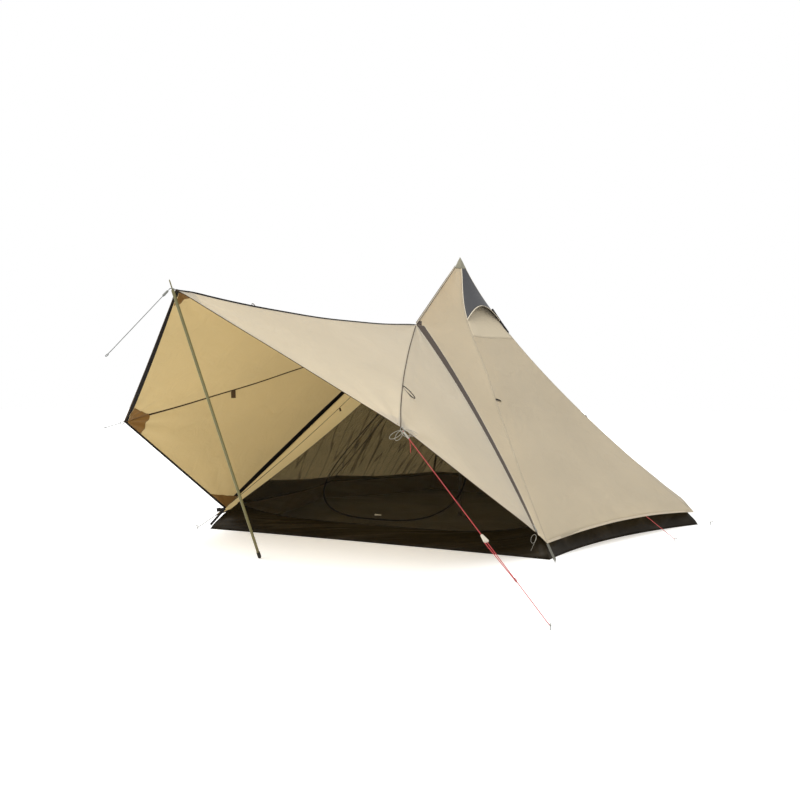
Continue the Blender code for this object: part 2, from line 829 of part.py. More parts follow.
def build_awning_pole():
    """Three sections, a domed rubber foot and a spike through the front ring."""
    foot, along, length = awning_pole_line()
    outer = AWNING_POLE_RADIUS
    start = 0.004
    shoulder = length - 0.006
    part = (shoulder - start) / 3
    for k, label in enumerate(("lower", "middle")):
        low = start + k * part + k * FIT
        tube_section("awning_pole_" + label, outer, low, start + (k + 1) * part, olive_steel(), foot, along)
    low = start + 2 * part + 2 * FIT
    bore = outer - POLE_WALL
    profile = [
        (0.0, shoulder + SPIKE), (SPIKE_RADIUS * 0.6, shoulder + SPIKE - 0.003),
        (SPIKE_RADIUS, shoulder + SPIKE - 0.010), (SPIKE_RADIUS, shoulder + 0.001),
        (outer * 0.8, shoulder), (outer, shoulder - 0.003), (outer, low), (bore, low),
        (bore, shoulder - 0.02), (0.0, shoulder - 0.02),
    ]
    revolve("awning_pole_upper", profile, olive_steel(), foot, along)
    rim = -(outer + FOOT_WALL)
    pole_foot("awning_pole_foot", outer, rim, start - FIT, foot, along, domed=True)


def ring_seat():
    """Centre of the front eyelet plate's underside, just clear of the tilted pole's shoulder."""
    foot, along, length = awning_pole_line()
    shoulder = foot + along * (length - 0.006)
    tilt = math.acos(along[2])
    tail = awning_front() - shoulder
    lean = tilt + abs(math.atan2(tail[2], math.hypot(tail[0], tail[1])))
    rise = (0.8 * AWNING_POLE_RADIUS * math.sin(lean) + 2 * FIT) / math.cos(lean)
    return shoulder + along * rise, lean


def ring_frame():
    """The eyelet plate's seat, and the way from its middle back to the awning's cloth."""
    seat = ring_seat()[0]
    cloth = awning_front() + inward(awning_front()) * CLOTH / 2
    return seat, cloth - (seat + np.array([0.0, 0.0, RING_PLATE / 2]))


def build_front_ring():
    """Eyelet plate on the pole's spike, with a tail back to the awning's front corner."""
    tilt = ring_seat()[1]
    thick = RING_PLATE
    seat, back = ring_frame()
    reach = np.linalg.norm(back) - 0.35 * CLOTH - FIT
    outer = FRONT_RING
    half = 0.007
    turn = math.asin(half / outer)
    arc = np.linspace(turn, 2 * math.pi - turn, 18)
    outline = [(outer * math.cos(a), outer * math.sin(a)) for a in arc]
    outline += [(reach - 0.004, -half), (reach, -0.003), (reach, 0.003), (reach - 0.004, half)]
    hole = circle(1.04 * ((SPIKE_RADIUS + FIT) / math.cos(tilt) + thick * math.tan(tilt)), sides=12)
    place = frame_along(seat, back, np.cross((0.0, 0.0, 1.0), back))
    plate("awning_ring_front", outline, [hole], thick, bare_steel(), place)


def ring_at(name, centre, facing):
    """A round wire ring whose axis points along facing."""
    sides, rounds = 16, 8
    points = []
    for k in range(sides):
        a = 2 * math.pi * k / sides
        for j in range(rounds):
            b = 2 * math.pi * j / rounds
            reach = RING_RADIUS + RING_WIRE * math.cos(b)
            points.append((reach * math.cos(a), reach * math.sin(a), RING_WIRE * math.sin(b)))
    faces = []
    for k in range(sides):
        for j in range(rounds):
            a, b = k * rounds + j, k * rounds + (j + 1) % rounds
            c = ((k + 1) % sides) * rounds + (j + 1) % rounds
            d = ((k + 1) % sides) * rounds + j
            faces.append([a, b, c, d])
    turn = Vector((0, 0, 1)).rotation_difference(Vector(facing)).to_matrix().to_4x4()
    mesh = close_mesh(name, points, faces)
    mesh.shade_smooth()
    link(name, mesh, bare_steel(), Matrix.Translation(Vector(centre)) @ turn)


def line_start(hand):
    """Ring centre and the first point of the guyline at a side corner of the awning."""
    corner = awning_corner(hand)
    target = np.array([*RIGHT_PEG, PEG_SHOW * 0.6]) if hand > 0 else np.array(LEFT_LINE_END)
    along = (target - corner) / np.linalg.norm(target - corner)
    centre = corner + along * (RING_RADIUS + RING_WIRE)
    start = centre + along * (RING_RADIUS + RING_WIRE + FIT)
    return centre, start, target, along


def tie_gap(along, radius):
    """How far before an upright rod's axis a cord's square end stops, so that it just clears the rod."""
    level = math.hypot(along[0], along[1])
    return (radius + CORD_RADIUS * abs(along[2]) + FIT) / level


def peg(name, spot):
    """The part of a driven hook peg that stands above the ground, its hook turned outward."""
    out = Vector((spot[0], spot[1], 0.0)).normalized()
    shape = [(0, 0), (0, 0.55), (0, 0.80), (0.12, 0.97), (0.32, 1.0), (0.47, 0.88), (0.50, 0.68)]
    route = [(spot[0] + out.x * a * PEG_SHOW, spot[1] + out.y * a * PEG_SHOW, b * PEG_SHOW) for a, b in shape]
    tube(name, smooth_route(route, 13), PEG_RADIUS, bare_steel(), 1)


def build_corners():
    """A webbing strap from each hem corner down to its peg."""
    for corner in CORNER_ORDER:
        hem = fly_ridge(corner, 1.0)
        out = np.array([*CORNERS[corner], 0.0])
        out /= np.linalg.norm(out)
        spot = np.array([*CORNERS[corner], 0.0]) * 1.0 + out * 0.11
        eye_centre = np.array([spot[0], spot[1], 0.016])
        along = eye_centre - hem
        length = np.linalg.norm(along)
        along /= length
        start = hem + along * 0.0006
        side = np.cross(np.array([0.0, 0.0, 1.0]), along)
        place = frame_along(start, along, side)
        half = STRAP_WIDTH / 2
        reach = length - 0.0006
        head = np.linspace(-math.pi / 2, math.pi / 2, 9)
        outline = [(0.004, -half), *[(reach + half * math.cos(a), half * math.sin(a)) for a in head],
                   (0.004, half), (0.0, 0.003), (0.0, -0.003)]
        slope = math.asin(-along[2])
        eye = circle((PEG_RADIUS + 0.0006) / math.cos(slope) + STRAP * math.tan(slope), (reach, 0.0), 12)
        plate("corner_strap_" + corner, outline, [eye], STRAP, grey_webbing(), place)
        peg("corner_peg_" + corner, spot)


def build_right_line():
    """Red guyline from the right corner's ring to its peg, with its spare cord in a hank at the ring."""
    centre, start, target, along = line_start(1)
    ring_at("awning_ring_right", centre, np.cross(along, (0.0, 0.0, 1.0)))
    peg("guy_peg_right", RIGHT_PEG)
    end = target - along * tie_gap(along, PEG_RADIUS)
    tube("guy_cord_right", [start + (end - start) * t for t in np.linspace(0, 1, 9)], CORD_RADIUS, red_cord())
    adjuster("guy_adjuster_right", start + (end - start) * RIGHT_ADJUSTER, along, 0.055, 0.032, white_plastic())
    build_hank(centre, along)


def build_hank(centre, along):
    """Spare cord wound in four long loops under the ring."""
    loops, per_loop = 4, 24
    pitch = 2 * CORD_RADIUS + 0.0010
    across_line = np.cross(along, (0.0, 0.0, 1.0))
    across_line /= np.linalg.norm(across_line)
    long_way = np.array([0.0, 0.0, -1.0])
    wide_way = np.cross(across_line, long_way)
    half_long, half_wide = 0.034, 0.011
    middle = centre - long_way * 0 + long_way * (RING_RADIUS + RING_WIRE + half_long + CORD_RADIUS + 0.0008)
    route = []
    total = loops * per_loop
    for k in range(total + 1):
        a = 2 * math.pi * k / per_loop
        offset = (k / total - 0.5) * loops * pitch
        route.append(middle + across_line * offset - long_way * half_long * math.cos(a)
                     + wide_way * half_wide * math.sin(a))
    points = np.array(route)
    spread = np.linalg.norm(points[:, None] - points[None], axis=2)
    apart = np.abs(np.subtract.outer(np.arange(len(points)), np.arange(len(points)))) > per_loop // 2
    print("hank: least gap between turns %.2f mm" % (1000 * (spread[apart].min() - 2 * CORD_RADIUS)))
    tube("guy_hank_right", route, CORD_RADIUS, grey_cord(), 1)


def adjuster(name, centre, along, length, width, surface):
    """A flat cord adjuster, wide at one end, with a bore for the taut line."""
    thick = 2 * CORD_RADIUS + 0.006
    side = np.cross(along, (0.0, 0.0, 1.0))
    place = frame_along(centre, along, side)
    half = length / 2
    outline = [(-half, -0.005), (half - 0.008, -width / 2), (half, -width / 2 + 0.006),
               (half, width / 2 - 0.006), (half - 0.008, width / 2), (-half, 0.005)]
    body = plate(name, outline, [], thick, surface, place)
    body.data.transform(Matrix.Translation((0.0, 0.0, -thick / 2)))
    cutter_mesh = bpy.data.meshes.new(name + "_bore")
    work = bmesh.new()
    bmesh.ops.create_cone(work, cap_ends=True, segments=12, radius1=CORD_RADIUS + 0.0006,
                          radius2=CORD_RADIUS + 0.0006, depth=length * 1.5)
    work.to_mesh(cutter_mesh)
    work.free()
    cutter = bpy.data.objects.new(name + "_bore", cutter_mesh)
    bpy.context.scene.collection.objects.link(cutter)
    cutter.matrix_world = place @ Matrix.Rotation(math.radians(90), 4, "Y")
    cutter.hide_render = True
    cutter.display_type = "WIRE"
    cut = body.modifiers.new("bore", "BOOLEAN")
    cut.operation = "DIFFERENCE"
    cut.solver = "EXACT"
    cut.object = cutter


def loop_end(start, end, size):
    """A route that runs straight to a small closed eye at its far end."""
    start, end = np.array(start), np.array(end)
    along = (end - start) / np.linalg.norm(end - start)
    side = np.cross(along, (0.0, 0.0, 1.0))
    side /= np.linalg.norm(side)
    straight = [start + (end - start) * t for t in np.linspace(0, 1, 6)]
    middle = end + along * size
    turns = np.linspace(math.pi * 0.92, -math.pi * 0.72, 14)
    eye = [middle + size * (along * math.cos(a) + side * math.sin(a)) for a in turns]
    return straight[:-1] + eye


def front_line_ends():
    """Ends and direction of the front guyline, which starts at the front rim of the eyelet plate."""
    seat, back = ring_frame()
    square = np.cross(back, np.cross((0.0, 0.0, 1.0), back))
    square *= math.copysign(1.0, square[2]) / np.linalg.norm(square)
    middle = seat + square * RING_PLATE / 2
    end = np.array(FRONT_LINE_END)
    out = (end - middle) / np.linalg.norm(end - middle)
    ahead = out - square * (out @ square)
    ahead /= np.linalg.norm(ahead)
    start = middle + ahead * (FRONT_RING + CORD_RADIUS * math.sqrt(1 - (out @ ahead) ** 2) + FIT)
    return start, end, (end - start) / np.linalg.norm(end - start)


def build_front_line():
    """Grey guyline from the front ring, its far part outside the view, ending in its eye."""
    start, end, out = front_line_ends()
    tube("guy_cord_front", loop_end(start, end, 0.010), CORD_RADIUS, grey_cord())
    adjuster("guy_adjuster_front", start + (end - start) * 0.085, out, 0.050, 0.016, grey_plastic())


def build_left_line():
    """The stub of the left guyline that the view shows, ending in its eye."""
    centre, start, target, along = line_start(-1)
    ring_at("awning_ring_left", centre, np.cross(along, (0.0, 0.0, 1.0)))
    tube("guy_cord_left", loop_end(start, target, 0.010), CORD_RADIUS, grey_cord())


def build_side_line():
    """Short red line from the right hem's guy point to its peg."""
    hem = fly_panel_point("right", 1.0, SIDE_LINE_SHARE)
    end = np.array([*SIDE_PEG, PEG_SHOW * 0.6])
    along = (end - hem) / np.linalg.norm(end - hem)
    start = hem + along * (0.6 * CORD_RADIUS + FIT)
    stop = end - along * tie_gap(along, PEG_RADIUS)
    tube("guy_cord_side", [start + (stop - start) * t for t in np.linspace(0, 1, 5)], CORD_RADIUS, red_cord())
    peg("guy_peg_side", SIDE_PEG)


def height_over(others, centre, along, outward, length, width):
    """How far the named sheets rise over a plane, under a strip of it along the given direction."""
    side = np.cross(outward, along)
    highest = -0.05
    trees = []
    for other in others:
        item = bpy.data.objects[other]
        corners = [item.matrix_world @ vertex.co for vertex in item.data.vertices]
        trees.append(BVHTree.FromPolygons(corners, [list(face.vertices) for face in item.data.polygons]))
    for a in np.linspace(-0.24 * length, 0.77 * length, 24):
        for b in np.linspace(-width / 2, width / 2, 7):
            start = Vector(centre + along * a + side * b + outward * 0.05)
            for tree in trees:
                hit = tree.ray_cast(start, Vector(-outward), 0.1)
                if hit[0] is not None:
                    highest = max(highest, 0.05 - hit[3])
    return highest


def slider(name, centre, along, outward, surface, others, clearance=2 * FIT):
    """A zip slider: a waisted body with its pull tab laid along the zip, clear of the cloth under it."""
    half = 0.014
    lift = height_over(others, centre, along, outward, 0.064, 0.016) + clearance
    place = frame_along(centre + outward * lift, along, np.cross(outward, along))
    outline = [(-half, -0.006), (-half + 0.006, -0.0075), (0.0, -0.005), (half - 0.004, -0.0065),
               (half, -0.003), (half + 0.030, -0.0035), (half + 0.034, 0.0), (half + 0.030, 0.0035),
               (half, 0.003), (half - 0.004, 0.0065), (0.0, 0.005), (-half + 0.006, 0.0075), (-half, 0.006)]
    plate(name, outline, [], 0.005, surface, place)


def strip_facet(hand, row):
    """Centre line of one flat stretch of a zip strip: its two ends and its outward normal."""
    rows = strip_rows()
    upper = front_row(hand, rows[row], 0.0, strip_share(hand, rows[row]), 3)
    lower = front_row(hand, rows[row + 1], 0.0, strip_share(hand, rows[row + 1]), 3)
    over = 0.5 * (upper[2] - upper[0]) + 0.5 * (lower[2] - lower[0])
    normal = np.cross(lower[1] - upper[1], over)
    normal /= np.linalg.norm(normal)
    if normal @ inward(upper[1]) > 0:
        normal = -normal
    return upper[1], lower[1], normal


def build_sliders():
    """The two door zip sliders, parked near the hem."""
    for hand, label in ((1, "right"), (-1, "left")):
        upper, lower, normal = strip_facet(hand, LOWER_ROWS - 1)
        along = (upper - lower) / np.linalg.norm(upper - lower)
        centre = lower + along * 0.03
        slider("zip_slider_" + label, centre, along, normal, bare_steel(),
               ["door_zip_" + label, "fly_front_" + label, "awning_side_" + label])


def door_slider_place():
    """Place, direction and outward normal of the inner door's slider, on the door's lower edge."""
    u = DOOR_LOW - 0.012
    left, right = front_wall_point(u, 0.42), front_wall_point(u, 0.58)
    along = (right - left) / np.linalg.norm(right - left)
    rise = front_wall_point(u - 0.02, 0.5) - front_wall_point(u, 0.5)
    normal = np.cross(along, rise)
    normal /= np.linalg.norm(normal)
    return front_wall_point(u, 0.49), along, normal


def build_door_slider():
    spot, along, normal = door_slider_place()
    slider("inner_door_slider", spot, along, normal, white_plastic(), ["inner_front", "inner_door"],
           clearance=2.5 * FIT)


def hood_point(u, v, extra=0.0):
    """Point of the vent hood: the right panel's surface, lifted into an arch towards its mouth."""
    mouth = VENT_FOOT - VENT_ARCH * math.sin(math.pi * v)
    place = VENT_TOP + (mouth - VENT_TOP) * u
    point = fly_facet_point("right", place, 0.02 + 0.96 * v)
    lift = VENT_CLOTH + 0.0012 + extra + VENT_BULGE * u ** 1.6 * math.sin(math.pi * v) ** 0.7
    return point - inward(point) * lift


def build_vent():
    """Dark hood over the vent, and the strut that props its mouth."""
    grid = [[hood_point(u, v) for v in np.linspace(0, 1, 11)] for u in np.linspace(0, 1, 7)]
    sheet_solid("vent_hood", grid, grey_cloth(), thickness=VENT_CLOTH)
    foot, along, length = strut_line()
    tip = STRUT_RADIUS * 0.6
    profile = [(0.0, 0.0), (STRUT_RADIUS, tip), (STRUT_RADIUS, length - tip), (0.0, length)]
    revolve("vent_strut", profile, grey_plastic(), foot, along, sides=10)


def strut_line():
    """Foot of the strut on the panel, the direction square to the panel, and the length up to the hood."""
    mouth = VENT_FOOT - VENT_ARCH
    place = VENT_TOP + (mouth - VENT_TOP) * STRUT_PLACE
    under = fly_facet_point("right", place, 0.5)
    down = fly_facet_point("right", place + 0.005, 0.5) - under
    over = fly_facet_point("right", place, 0.6) - under
    square = np.cross(down, over)
    square /= np.linalg.norm(square)
    if square @ inward(under) > 0:
        square = -square
    hood = bpy.data.objects["vent_hood"].data
    tree = BVHTree.FromPolygons([v.co for v in hood.vertices], [list(f.vertices) for f in hood.polygons])
    reach = tree.ray_cast(Vector(under), Vector(square), 0.5)[3]
    return under + square * 0.0008, square, reach - 0.0016


def build():
    clear_scene()
    build_fly_panels()
    build_front_panels()
    build_awning()
    build_peak_cap()
    build_vent()
    build_floor()
    build_inner_walls()
    build_inner_front()
    build_centre_pole()
    build_awning_pole()
    build_front_ring()
    build_corners()
    build_right_line()
    build_front_line()
    build_left_line()
    build_side_line()
    build_sliders()
    build_door_slider()


build()
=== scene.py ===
"""Pyramid tent on a centre pole, with its front doors pitched forward as an awning.

Metres, +Z up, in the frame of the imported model: the origin is on the ground under the peak and the
doors face -Y. Each section makes one piece, or a group of like pieces, in the order of pitching.
"""
import math

import bpy
import numpy as np
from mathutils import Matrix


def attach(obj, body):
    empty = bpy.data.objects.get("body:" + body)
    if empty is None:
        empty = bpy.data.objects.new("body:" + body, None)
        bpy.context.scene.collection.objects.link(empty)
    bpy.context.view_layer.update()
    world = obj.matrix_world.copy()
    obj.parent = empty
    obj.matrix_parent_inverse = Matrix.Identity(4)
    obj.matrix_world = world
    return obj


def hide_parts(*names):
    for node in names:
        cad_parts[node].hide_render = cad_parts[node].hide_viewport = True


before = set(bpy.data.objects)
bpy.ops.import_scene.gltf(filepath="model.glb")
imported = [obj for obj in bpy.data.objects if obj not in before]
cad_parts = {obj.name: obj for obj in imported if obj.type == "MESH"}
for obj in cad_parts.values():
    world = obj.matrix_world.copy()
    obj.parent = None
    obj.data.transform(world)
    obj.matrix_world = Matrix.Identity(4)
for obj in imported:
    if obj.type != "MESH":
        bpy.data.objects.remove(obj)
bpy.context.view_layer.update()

# The ground, the daylight and the camera. The ground is a pale even sweep that shows white and keeps
# the tent's soft shadow. The light is one broad soft sun from the front left and an even sky.
GROUND_HALF = 60.0
CAMERA_PLACE = (3.983, -7.821, 1.166)
CAMERA_TURN = (math.radians(90 - 0.29), 0.0, math.radians(30.77))
CAMERA_LENS = 908 / 800 * 36
SKY = 0.85
SUN = 2.4


def tone(red, green, blue):
    """A display colour from 0 to 255 as linear light: ((c / 255 + 0.055) / 1.055) to the power 2.4."""
    return (*((np.array([red, green, blue]) / 255 + 0.055) / 1.055) ** 2.4, 1.0)


def new_material(name):
    """A node material: returns the material, its node tree and its Principled shader."""
    made = bpy.data.materials.new(name)
    made.use_nodes = True
    return made, made.node_tree, made.node_tree.nodes["Principled BSDF"]


def add_node(tree, kind, **values):
    """Add a node, and set its properties, or else its sockets, by name."""
    made = tree.nodes.new("ShaderNode" + kind)
    for key, value in values.items():
        if hasattr(made, key):
            setattr(made, key, value)
        else:
            made.inputs[key.replace("_", " ")].default_value = value
    return made


def wire(tree, *routes):
    """Join sockets, each route being (node, output, node, input)."""
    for source, out, target, into in routes:
        tree.links.new(source.outputs[out], target.inputs[into])


ground = bpy.data.meshes.new("ground")
ground_corners = [(x * GROUND_HALF, y * GROUND_HALF, -0.001) for x, y in ((-1, -1), (1, -1), (1, 1), (-1, 1))]
ground.from_pydata(ground_corners, [], [(0, 1, 2, 3)])
ground_piece = bpy.data.objects.new("ground", ground)
bpy.context.scene.collection.objects.link(ground_piece)
ground_paint, tree, shader = new_material("pale_ground")
tree.nodes.remove(shader)
pale = add_node(tree, "BsdfDiffuse", Color=(0.80, 0.80, 0.79, 1.0))
glow = add_node(tree, "Emission", Color=(1.0, 1.0, 1.0, 1.0), Strength=0.36)
lit = add_node(tree, "AddShader")
ray = add_node(tree, "LightPath")
plain = add_node(tree, "MixShader")
wire(tree, (pale, 0, lit, 0), (glow, 0, lit, 1), (ray, "Is Camera Ray", plain, 0), (pale, 0, plain, 1),
     (lit, 0, plain, 2), (plain, 0, tree.nodes["Material Output"], "Surface"))
ground.materials.append(ground_paint)

world = bpy.data.worlds.new("sky")
bpy.context.scene.world = world
world.use_nodes = True
tree = world.node_tree
sky = tree.nodes["Background"]
sky.inputs["Color"].default_value = (0.97, 0.98, 1.0, 1.0)
sky.inputs["Strength"].default_value = SKY
white = add_node(tree, "Background", Color=(1.0, 1.0, 1.0, 1.0), Strength=1.0)
ray = add_node(tree, "LightPath")
seen = add_node(tree, "Math", operation="MAXIMUM")
either = add_node(tree, "MixShader")
wire(tree, (ray, "Is Camera Ray", seen, 0), (ray, "Is Glossy Ray", seen, 1), (seen, 0, either, 0),
     (sky, 0, either, 1), (white, 0, either, 2), (either, 0, tree.nodes["World Output"], "Surface"))

sun = bpy.data.lights.new("sun", "SUN")
sun.energy = SUN
sun.angle = math.radians(45)
sun.color = (1.0, 0.985, 0.96)
sun_piece = bpy.data.objects.new("sun", sun)
sun_piece.rotation_euler = (math.radians(34), math.radians(-12), 0.0)
bpy.context.scene.collection.objects.link(sun_piece)

lens = bpy.data.cameras.new("camera")
lens.lens = CAMERA_LENS
lens.sensor_width = 36
camera = bpy.data.objects.new("camera", lens)
camera.location = CAMERA_PLACE
camera.rotation_euler = CAMERA_TURN
bpy.context.scene.collection.objects.link(camera)
bpy.context.scene.camera = camera
bpy.context.scene.view_settings.view_transform = "Standard"

# The guylines: braided cord of 4.5 mm. The red one at the awning's right corner runs through its white
# adjuster to a peg, a short red one holds the right hem, and the grey ones leave the view at left.
CORD_RADIUS = 0.00225
RIGHT_LINE = ((1.20640, -3.12084, 0.95159), (2.31566, -3.56825, 0.02403))
FRONT_LINE = ((-0.09994, -3.73209, 1.82723), (-0.154, -4.173, 1.405))
LEFT_LINE = ((-1.23122, -3.10775, 0.96139), (-1.345, -3.136, 0.93))
SIDE_LINE = ((1.8718, -0.25103, 0.15582), (2.16595, -0.49662, 0.02248))
BRAID_PITCH = 0.006


def mesh_piece(name, blocks, materials, body="tent", seam=None, flat=42, shell=0.0):
    """Make a piece from blocks of (points, face arrays, uv arrays, material number).

    seam is each point's distance to the nearest sewn seam, where the cloth shows its stitches, or one
    number for all. shell gives an open sheet that thickness inwards, with the second material inside
    and the third on its cut edges.
    """
    points, faces, uvs, wear, shift = [], [], [], [], 0
    for block_points, block_faces, block_uv, number in blocks:
        points.append(np.asarray(block_points, float).reshape(-1, 3))
        for group, corner_uv in zip(block_faces, block_uv):
            faces += (group + shift).tolist()
            uvs.append(corner_uv.reshape(-1, 2))
            wear.append(np.full(len(group), number))
        shift += len(points[-1])
    mesh = bpy.data.meshes.new(name)
    mesh.from_pydata(np.concatenate(points).tolist(), [], faces)
    mesh.uv_layers.new(name="UVMap").data.foreach_set("uv", np.concatenate(uvs).ravel())
    mesh.polygons.foreach_set("material_index", np.concatenate(wear).astype(np.int32))
    if seam is not None:
        values = np.broadcast_to(np.ravel(seam), len(mesh.vertices)).astype(float)
        mesh.attributes.new("seam", "FLOAT", "POINT").data.foreach_set("value", values)
    for material in materials:
        mesh.materials.append(material)
    mesh.shade_smooth()
    if flat:
        mesh.set_sharp_from_angle(angle=math.radians(flat))
    piece = bpy.data.objects.new(name, mesh)
    bpy.context.scene.collection.objects.link(piece)
    if shell:
        wall = piece.modifiers.new("thickness", "SOLIDIFY")
        wall.thickness = shell
        wall.offset = -1.0
        wall.material_offset = min(1, len(materials) - 1)
        wall.material_offset_rim = len(materials) - 1
    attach(piece, body)
    return piece


def grid_block(points, uv, wrap_rows=False, wrap_columns=False):
    """Squares of a grid of points. A wrapped way joins its last line to its first, and uv has one more."""
    rows, columns = points.shape[:2]
    i, j = np.meshgrid(np.arange(rows - 1 + wrap_rows), np.arange(columns - 1 + wrap_columns), indexing="ij")
    i, j = i.ravel()[:, None] + [0, 1, 1, 0], j.ravel()[:, None] + [0, 0, 1, 1]
    return points, [i % rows * columns + j % columns], [uv[i, j]], 0


def run_length(path):
    """Distance along a path to each of its points, the last axis but one being the path."""
    steps = np.linalg.norm(np.diff(path, axis=-2), axis=-1)
    return np.concatenate([np.zeros_like(steps[..., :1]), np.cumsum(steps, -1)], -1)


def unit(vectors):
    """Vectors divided by their lengths."""
    vectors = np.asarray(vectors, float)
    return vectors / np.linalg.norm(vectors, axis=-1, keepdims=True)


def sweep(path, profile, up=(0.2, 0.1, 1.0), number=0, closed=False):
    """Carry a closed profile of (side, up) offsets along a path.

    point = path + side offset * side + up offset * lift, where side = tangent x up and lift = side x
    tangent. The profile may differ for each point of the path. Open ends are closed by a fan.
    """
    path = np.asarray(path, float)
    if closed:
        tangent = unit(np.roll(path, -1, 0) - np.roll(path, 1, 0))
    else:
        tangent = unit(np.gradient(path, axis=0))
    side = unit(np.cross(tangent, np.broadcast_to(np.asarray(up, float), path.shape)))
    lift = np.cross(side, tangent)
    profile = np.asarray(profile, float)
    if profile.ndim == 2:
        profile = np.broadcast_to(profile, (len(path), *profile.shape))
    rings = path[:, None] + profile[..., :1] * side[:, None] + profile[..., 1:] * lift[:, None]
    count, around = rings.shape[:2]
    girth = run_length(np.concatenate([profile[0], profile[0][:1]]))
    far = run_length(np.concatenate([path, path[:1]]) if closed else path)
    uv = np.stack(np.broadcast_arrays(girth[None], far[:, None]), -1)
    _, faces, uvs, _ = grid_block(rings, uv, wrap_rows=closed, wrap_columns=True)
    if closed:
        return rings.reshape(-1, 3), faces, uvs, number
    j = np.arange(around)
    k = (j + 1) % around
    end = (count - 1) * around
    fans = [np.stack([j, k, np.full(around, end + around)], 1),
            np.stack([end + k, end + j, np.full(around, end + around + 1)], 1)]
    points = np.concatenate([rings.reshape(-1, 3), path[:1], path[-1:]])
    return points, faces + fans, uvs + [np.zeros((around, 3, 2))] * 2, number


def circle(radius, sides=12):
    """Round profile: radius times the cosine and sine of evenly spaced angles."""
    turn = np.linspace(0, 2 * math.pi, sides, endpoint=False)
    return np.stack([radius * np.cos(turn), radius * np.sin(turn)], 1)


def oblong(left, right, low, high):
    """Four-cornered profile between two side offsets and two up offsets."""
    return np.array([(left, low), (right, low), (right, high), (left, high)])


def calc(tree, operation, *terms):
    """A Math node fed by sockets and numbers: returns its output socket."""
    made = add_node(tree, "Math", operation=operation)
    for socket, term in zip(made.inputs, terms):
        if isinstance(term, (int, float)):
            socket.default_value = term
        else:
            tree.links.new(term, socket)
    return made.outputs[0]


def wave(tree, along, pitch):
    """A sine with one turn for each pitch of a socket: returns its socket."""
    return calc(tree, "SINE", calc(tree, "MULTIPLY", along, 2 * math.pi / pitch))


def above(tree, height, level, gain):
    """gain * (height - level), and never below 0: returns its socket."""
    return calc(tree, "MULTIPLY", calc(tree, "MAXIMUM", calc(tree, "SUBTRACT", height, level), 0.0), gain)


def mix_colour(tree, share, first, second):
    """Mix two colours, each a socket or a plain colour, by a socket or number: returns the socket."""
    made = add_node(tree, "Mix", data_type="RGBA")
    for socket, term in ((made.inputs[0], share), (made.inputs[6], first), (made.inputs[7], second)):
        if isinstance(term, (int, float, tuple)):
            socket.default_value = term
        else:
            tree.links.new(term, socket)
    return made.outputs[2]


def shade(colour, factor):
    """A colour times a factor, each part at most 1."""
    return (*(min(1.0, factor * part) for part in colour[:3]), 1.0)


def feed(tree, shader, **values):
    """Set the shader's sockets by name: a socket is linked, and a number is set plainly on it."""
    for key, value in values.items():
        into = shader.inputs[key.replace("_", " ")]
        if isinstance(value, bpy.types.NodeSocket):
            tree.links.new(value, into)
        else:
            into.default_value = value


def uv_parts(tree):
    """The across and along sockets of the piece's own map, in metres."""
    place = add_node(tree, "TexCoord")
    split = add_node(tree, "SeparateXYZ")
    wire(tree, (place, "UV", split, 0))
    return split.outputs["X"], split.outputs["Y"]


def place_parts(tree):
    """The X, Y and Z sockets of the object coordinates, in metres."""
    place = add_node(tree, "TexCoord")
    split = add_node(tree, "SeparateXYZ")
    wire(tree, (place, "Object", split, 0))
    return tuple(split.outputs)


def noise(tree, scale, detail=3.0, roughness=0.5, distortion=0.0, place=None):
    """Even noise, from 0 to 1, on object coordinates or on another place socket: returns its socket."""
    made = add_node(tree, "TexNoise", Scale=scale, Detail=detail, Roughness=roughness, Distortion=distortion)
    if place is None:
        place = add_node(tree, "TexCoord").outputs["Object"]
    tree.links.new(place, made.inputs["Vector"])
    return made.outputs["Fac"]


def bump(tree, height, strength, distance, under=None):
    """A Bump node over a height socket, on top of another: returns its output."""
    made = add_node(tree, "Bump", Strength=strength, Distance=distance)
    tree.links.new(height, made.inputs["Height"])
    if under is not None:
        tree.links.new(under, made.inputs["Normal"])
    return made.outputs["Normal"]


def braid(name, colour, dark, crest_highlight):
    """Braided cord: two sets of strands wound opposite ways, and the higher one shows.

    Each is sin(across / radius +- 2 pi along / pitch). Painted shade darkens the hollows between the strands,
    and a painted highlight lies where both are high.
    """
    made, tree, shader = new_material(name)
    across, along = uv_parts(tree)
    lay = calc(tree, "MULTIPLY", along, 2 * math.pi / BRAID_PITCH)
    strands = [calc(tree, "SINE", calc(tree, "ADD", calc(tree, "MULTIPLY", across, hand / CORD_RADIUS), lay))
               for hand in (1, -1)]
    height = calc(tree, "MAXIMUM", *strands)
    # painted shade in the hollows between the strands, and below it a painted highlight where both strands
    # are high
    paint = mix_colour(tree, calc(tree, "MULTIPLY_ADD", height, 0.5, 0.5), dark, colour)
    crest_highlights = calc(tree, "GREATER_THAN", calc(tree, "MULTIPLY", *strands), 0.75)
    paint = mix_colour(tree, calc(tree, "MULTIPLY", crest_highlights, 0.55), paint, crest_highlight)
    paint = mix_colour(tree, calc(tree, "MULTIPLY", noise(tree, 14.0), 0.35), paint, dark)
    feed(tree, shader, Base_Color=paint, Normal=bump(tree, height, 0.7, 0.0005), Roughness=0.72,
         Sheen_Weight=0.25)
    return made


red_braid = braid("red_braid", tone(198, 38, 40), tone(120, 14, 18), tone(226, 110, 100))
grey_braid = braid("grey_braid", tone(112, 114, 110), tone(62, 64, 62), tone(150, 150, 144))


def cord(name, path, nodes, material, slot, far_end, body="tent", radius=CORD_RADIUS, **facts):
    """A round tube carried along its path."""
    path = np.asarray(path, float)
    piece = mesh_piece(name, [sweep(path, circle(radius))], [material], body=body)
    if nodes:
        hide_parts(*nodes)
    return piece


def straight(start, end, count=15):
    """Evenly spaced points from start to end."""
    start, end = np.asarray(start, float), np.asarray(end, float)
    return start + np.linspace(0, 1, count)[:, None] * (end - start)


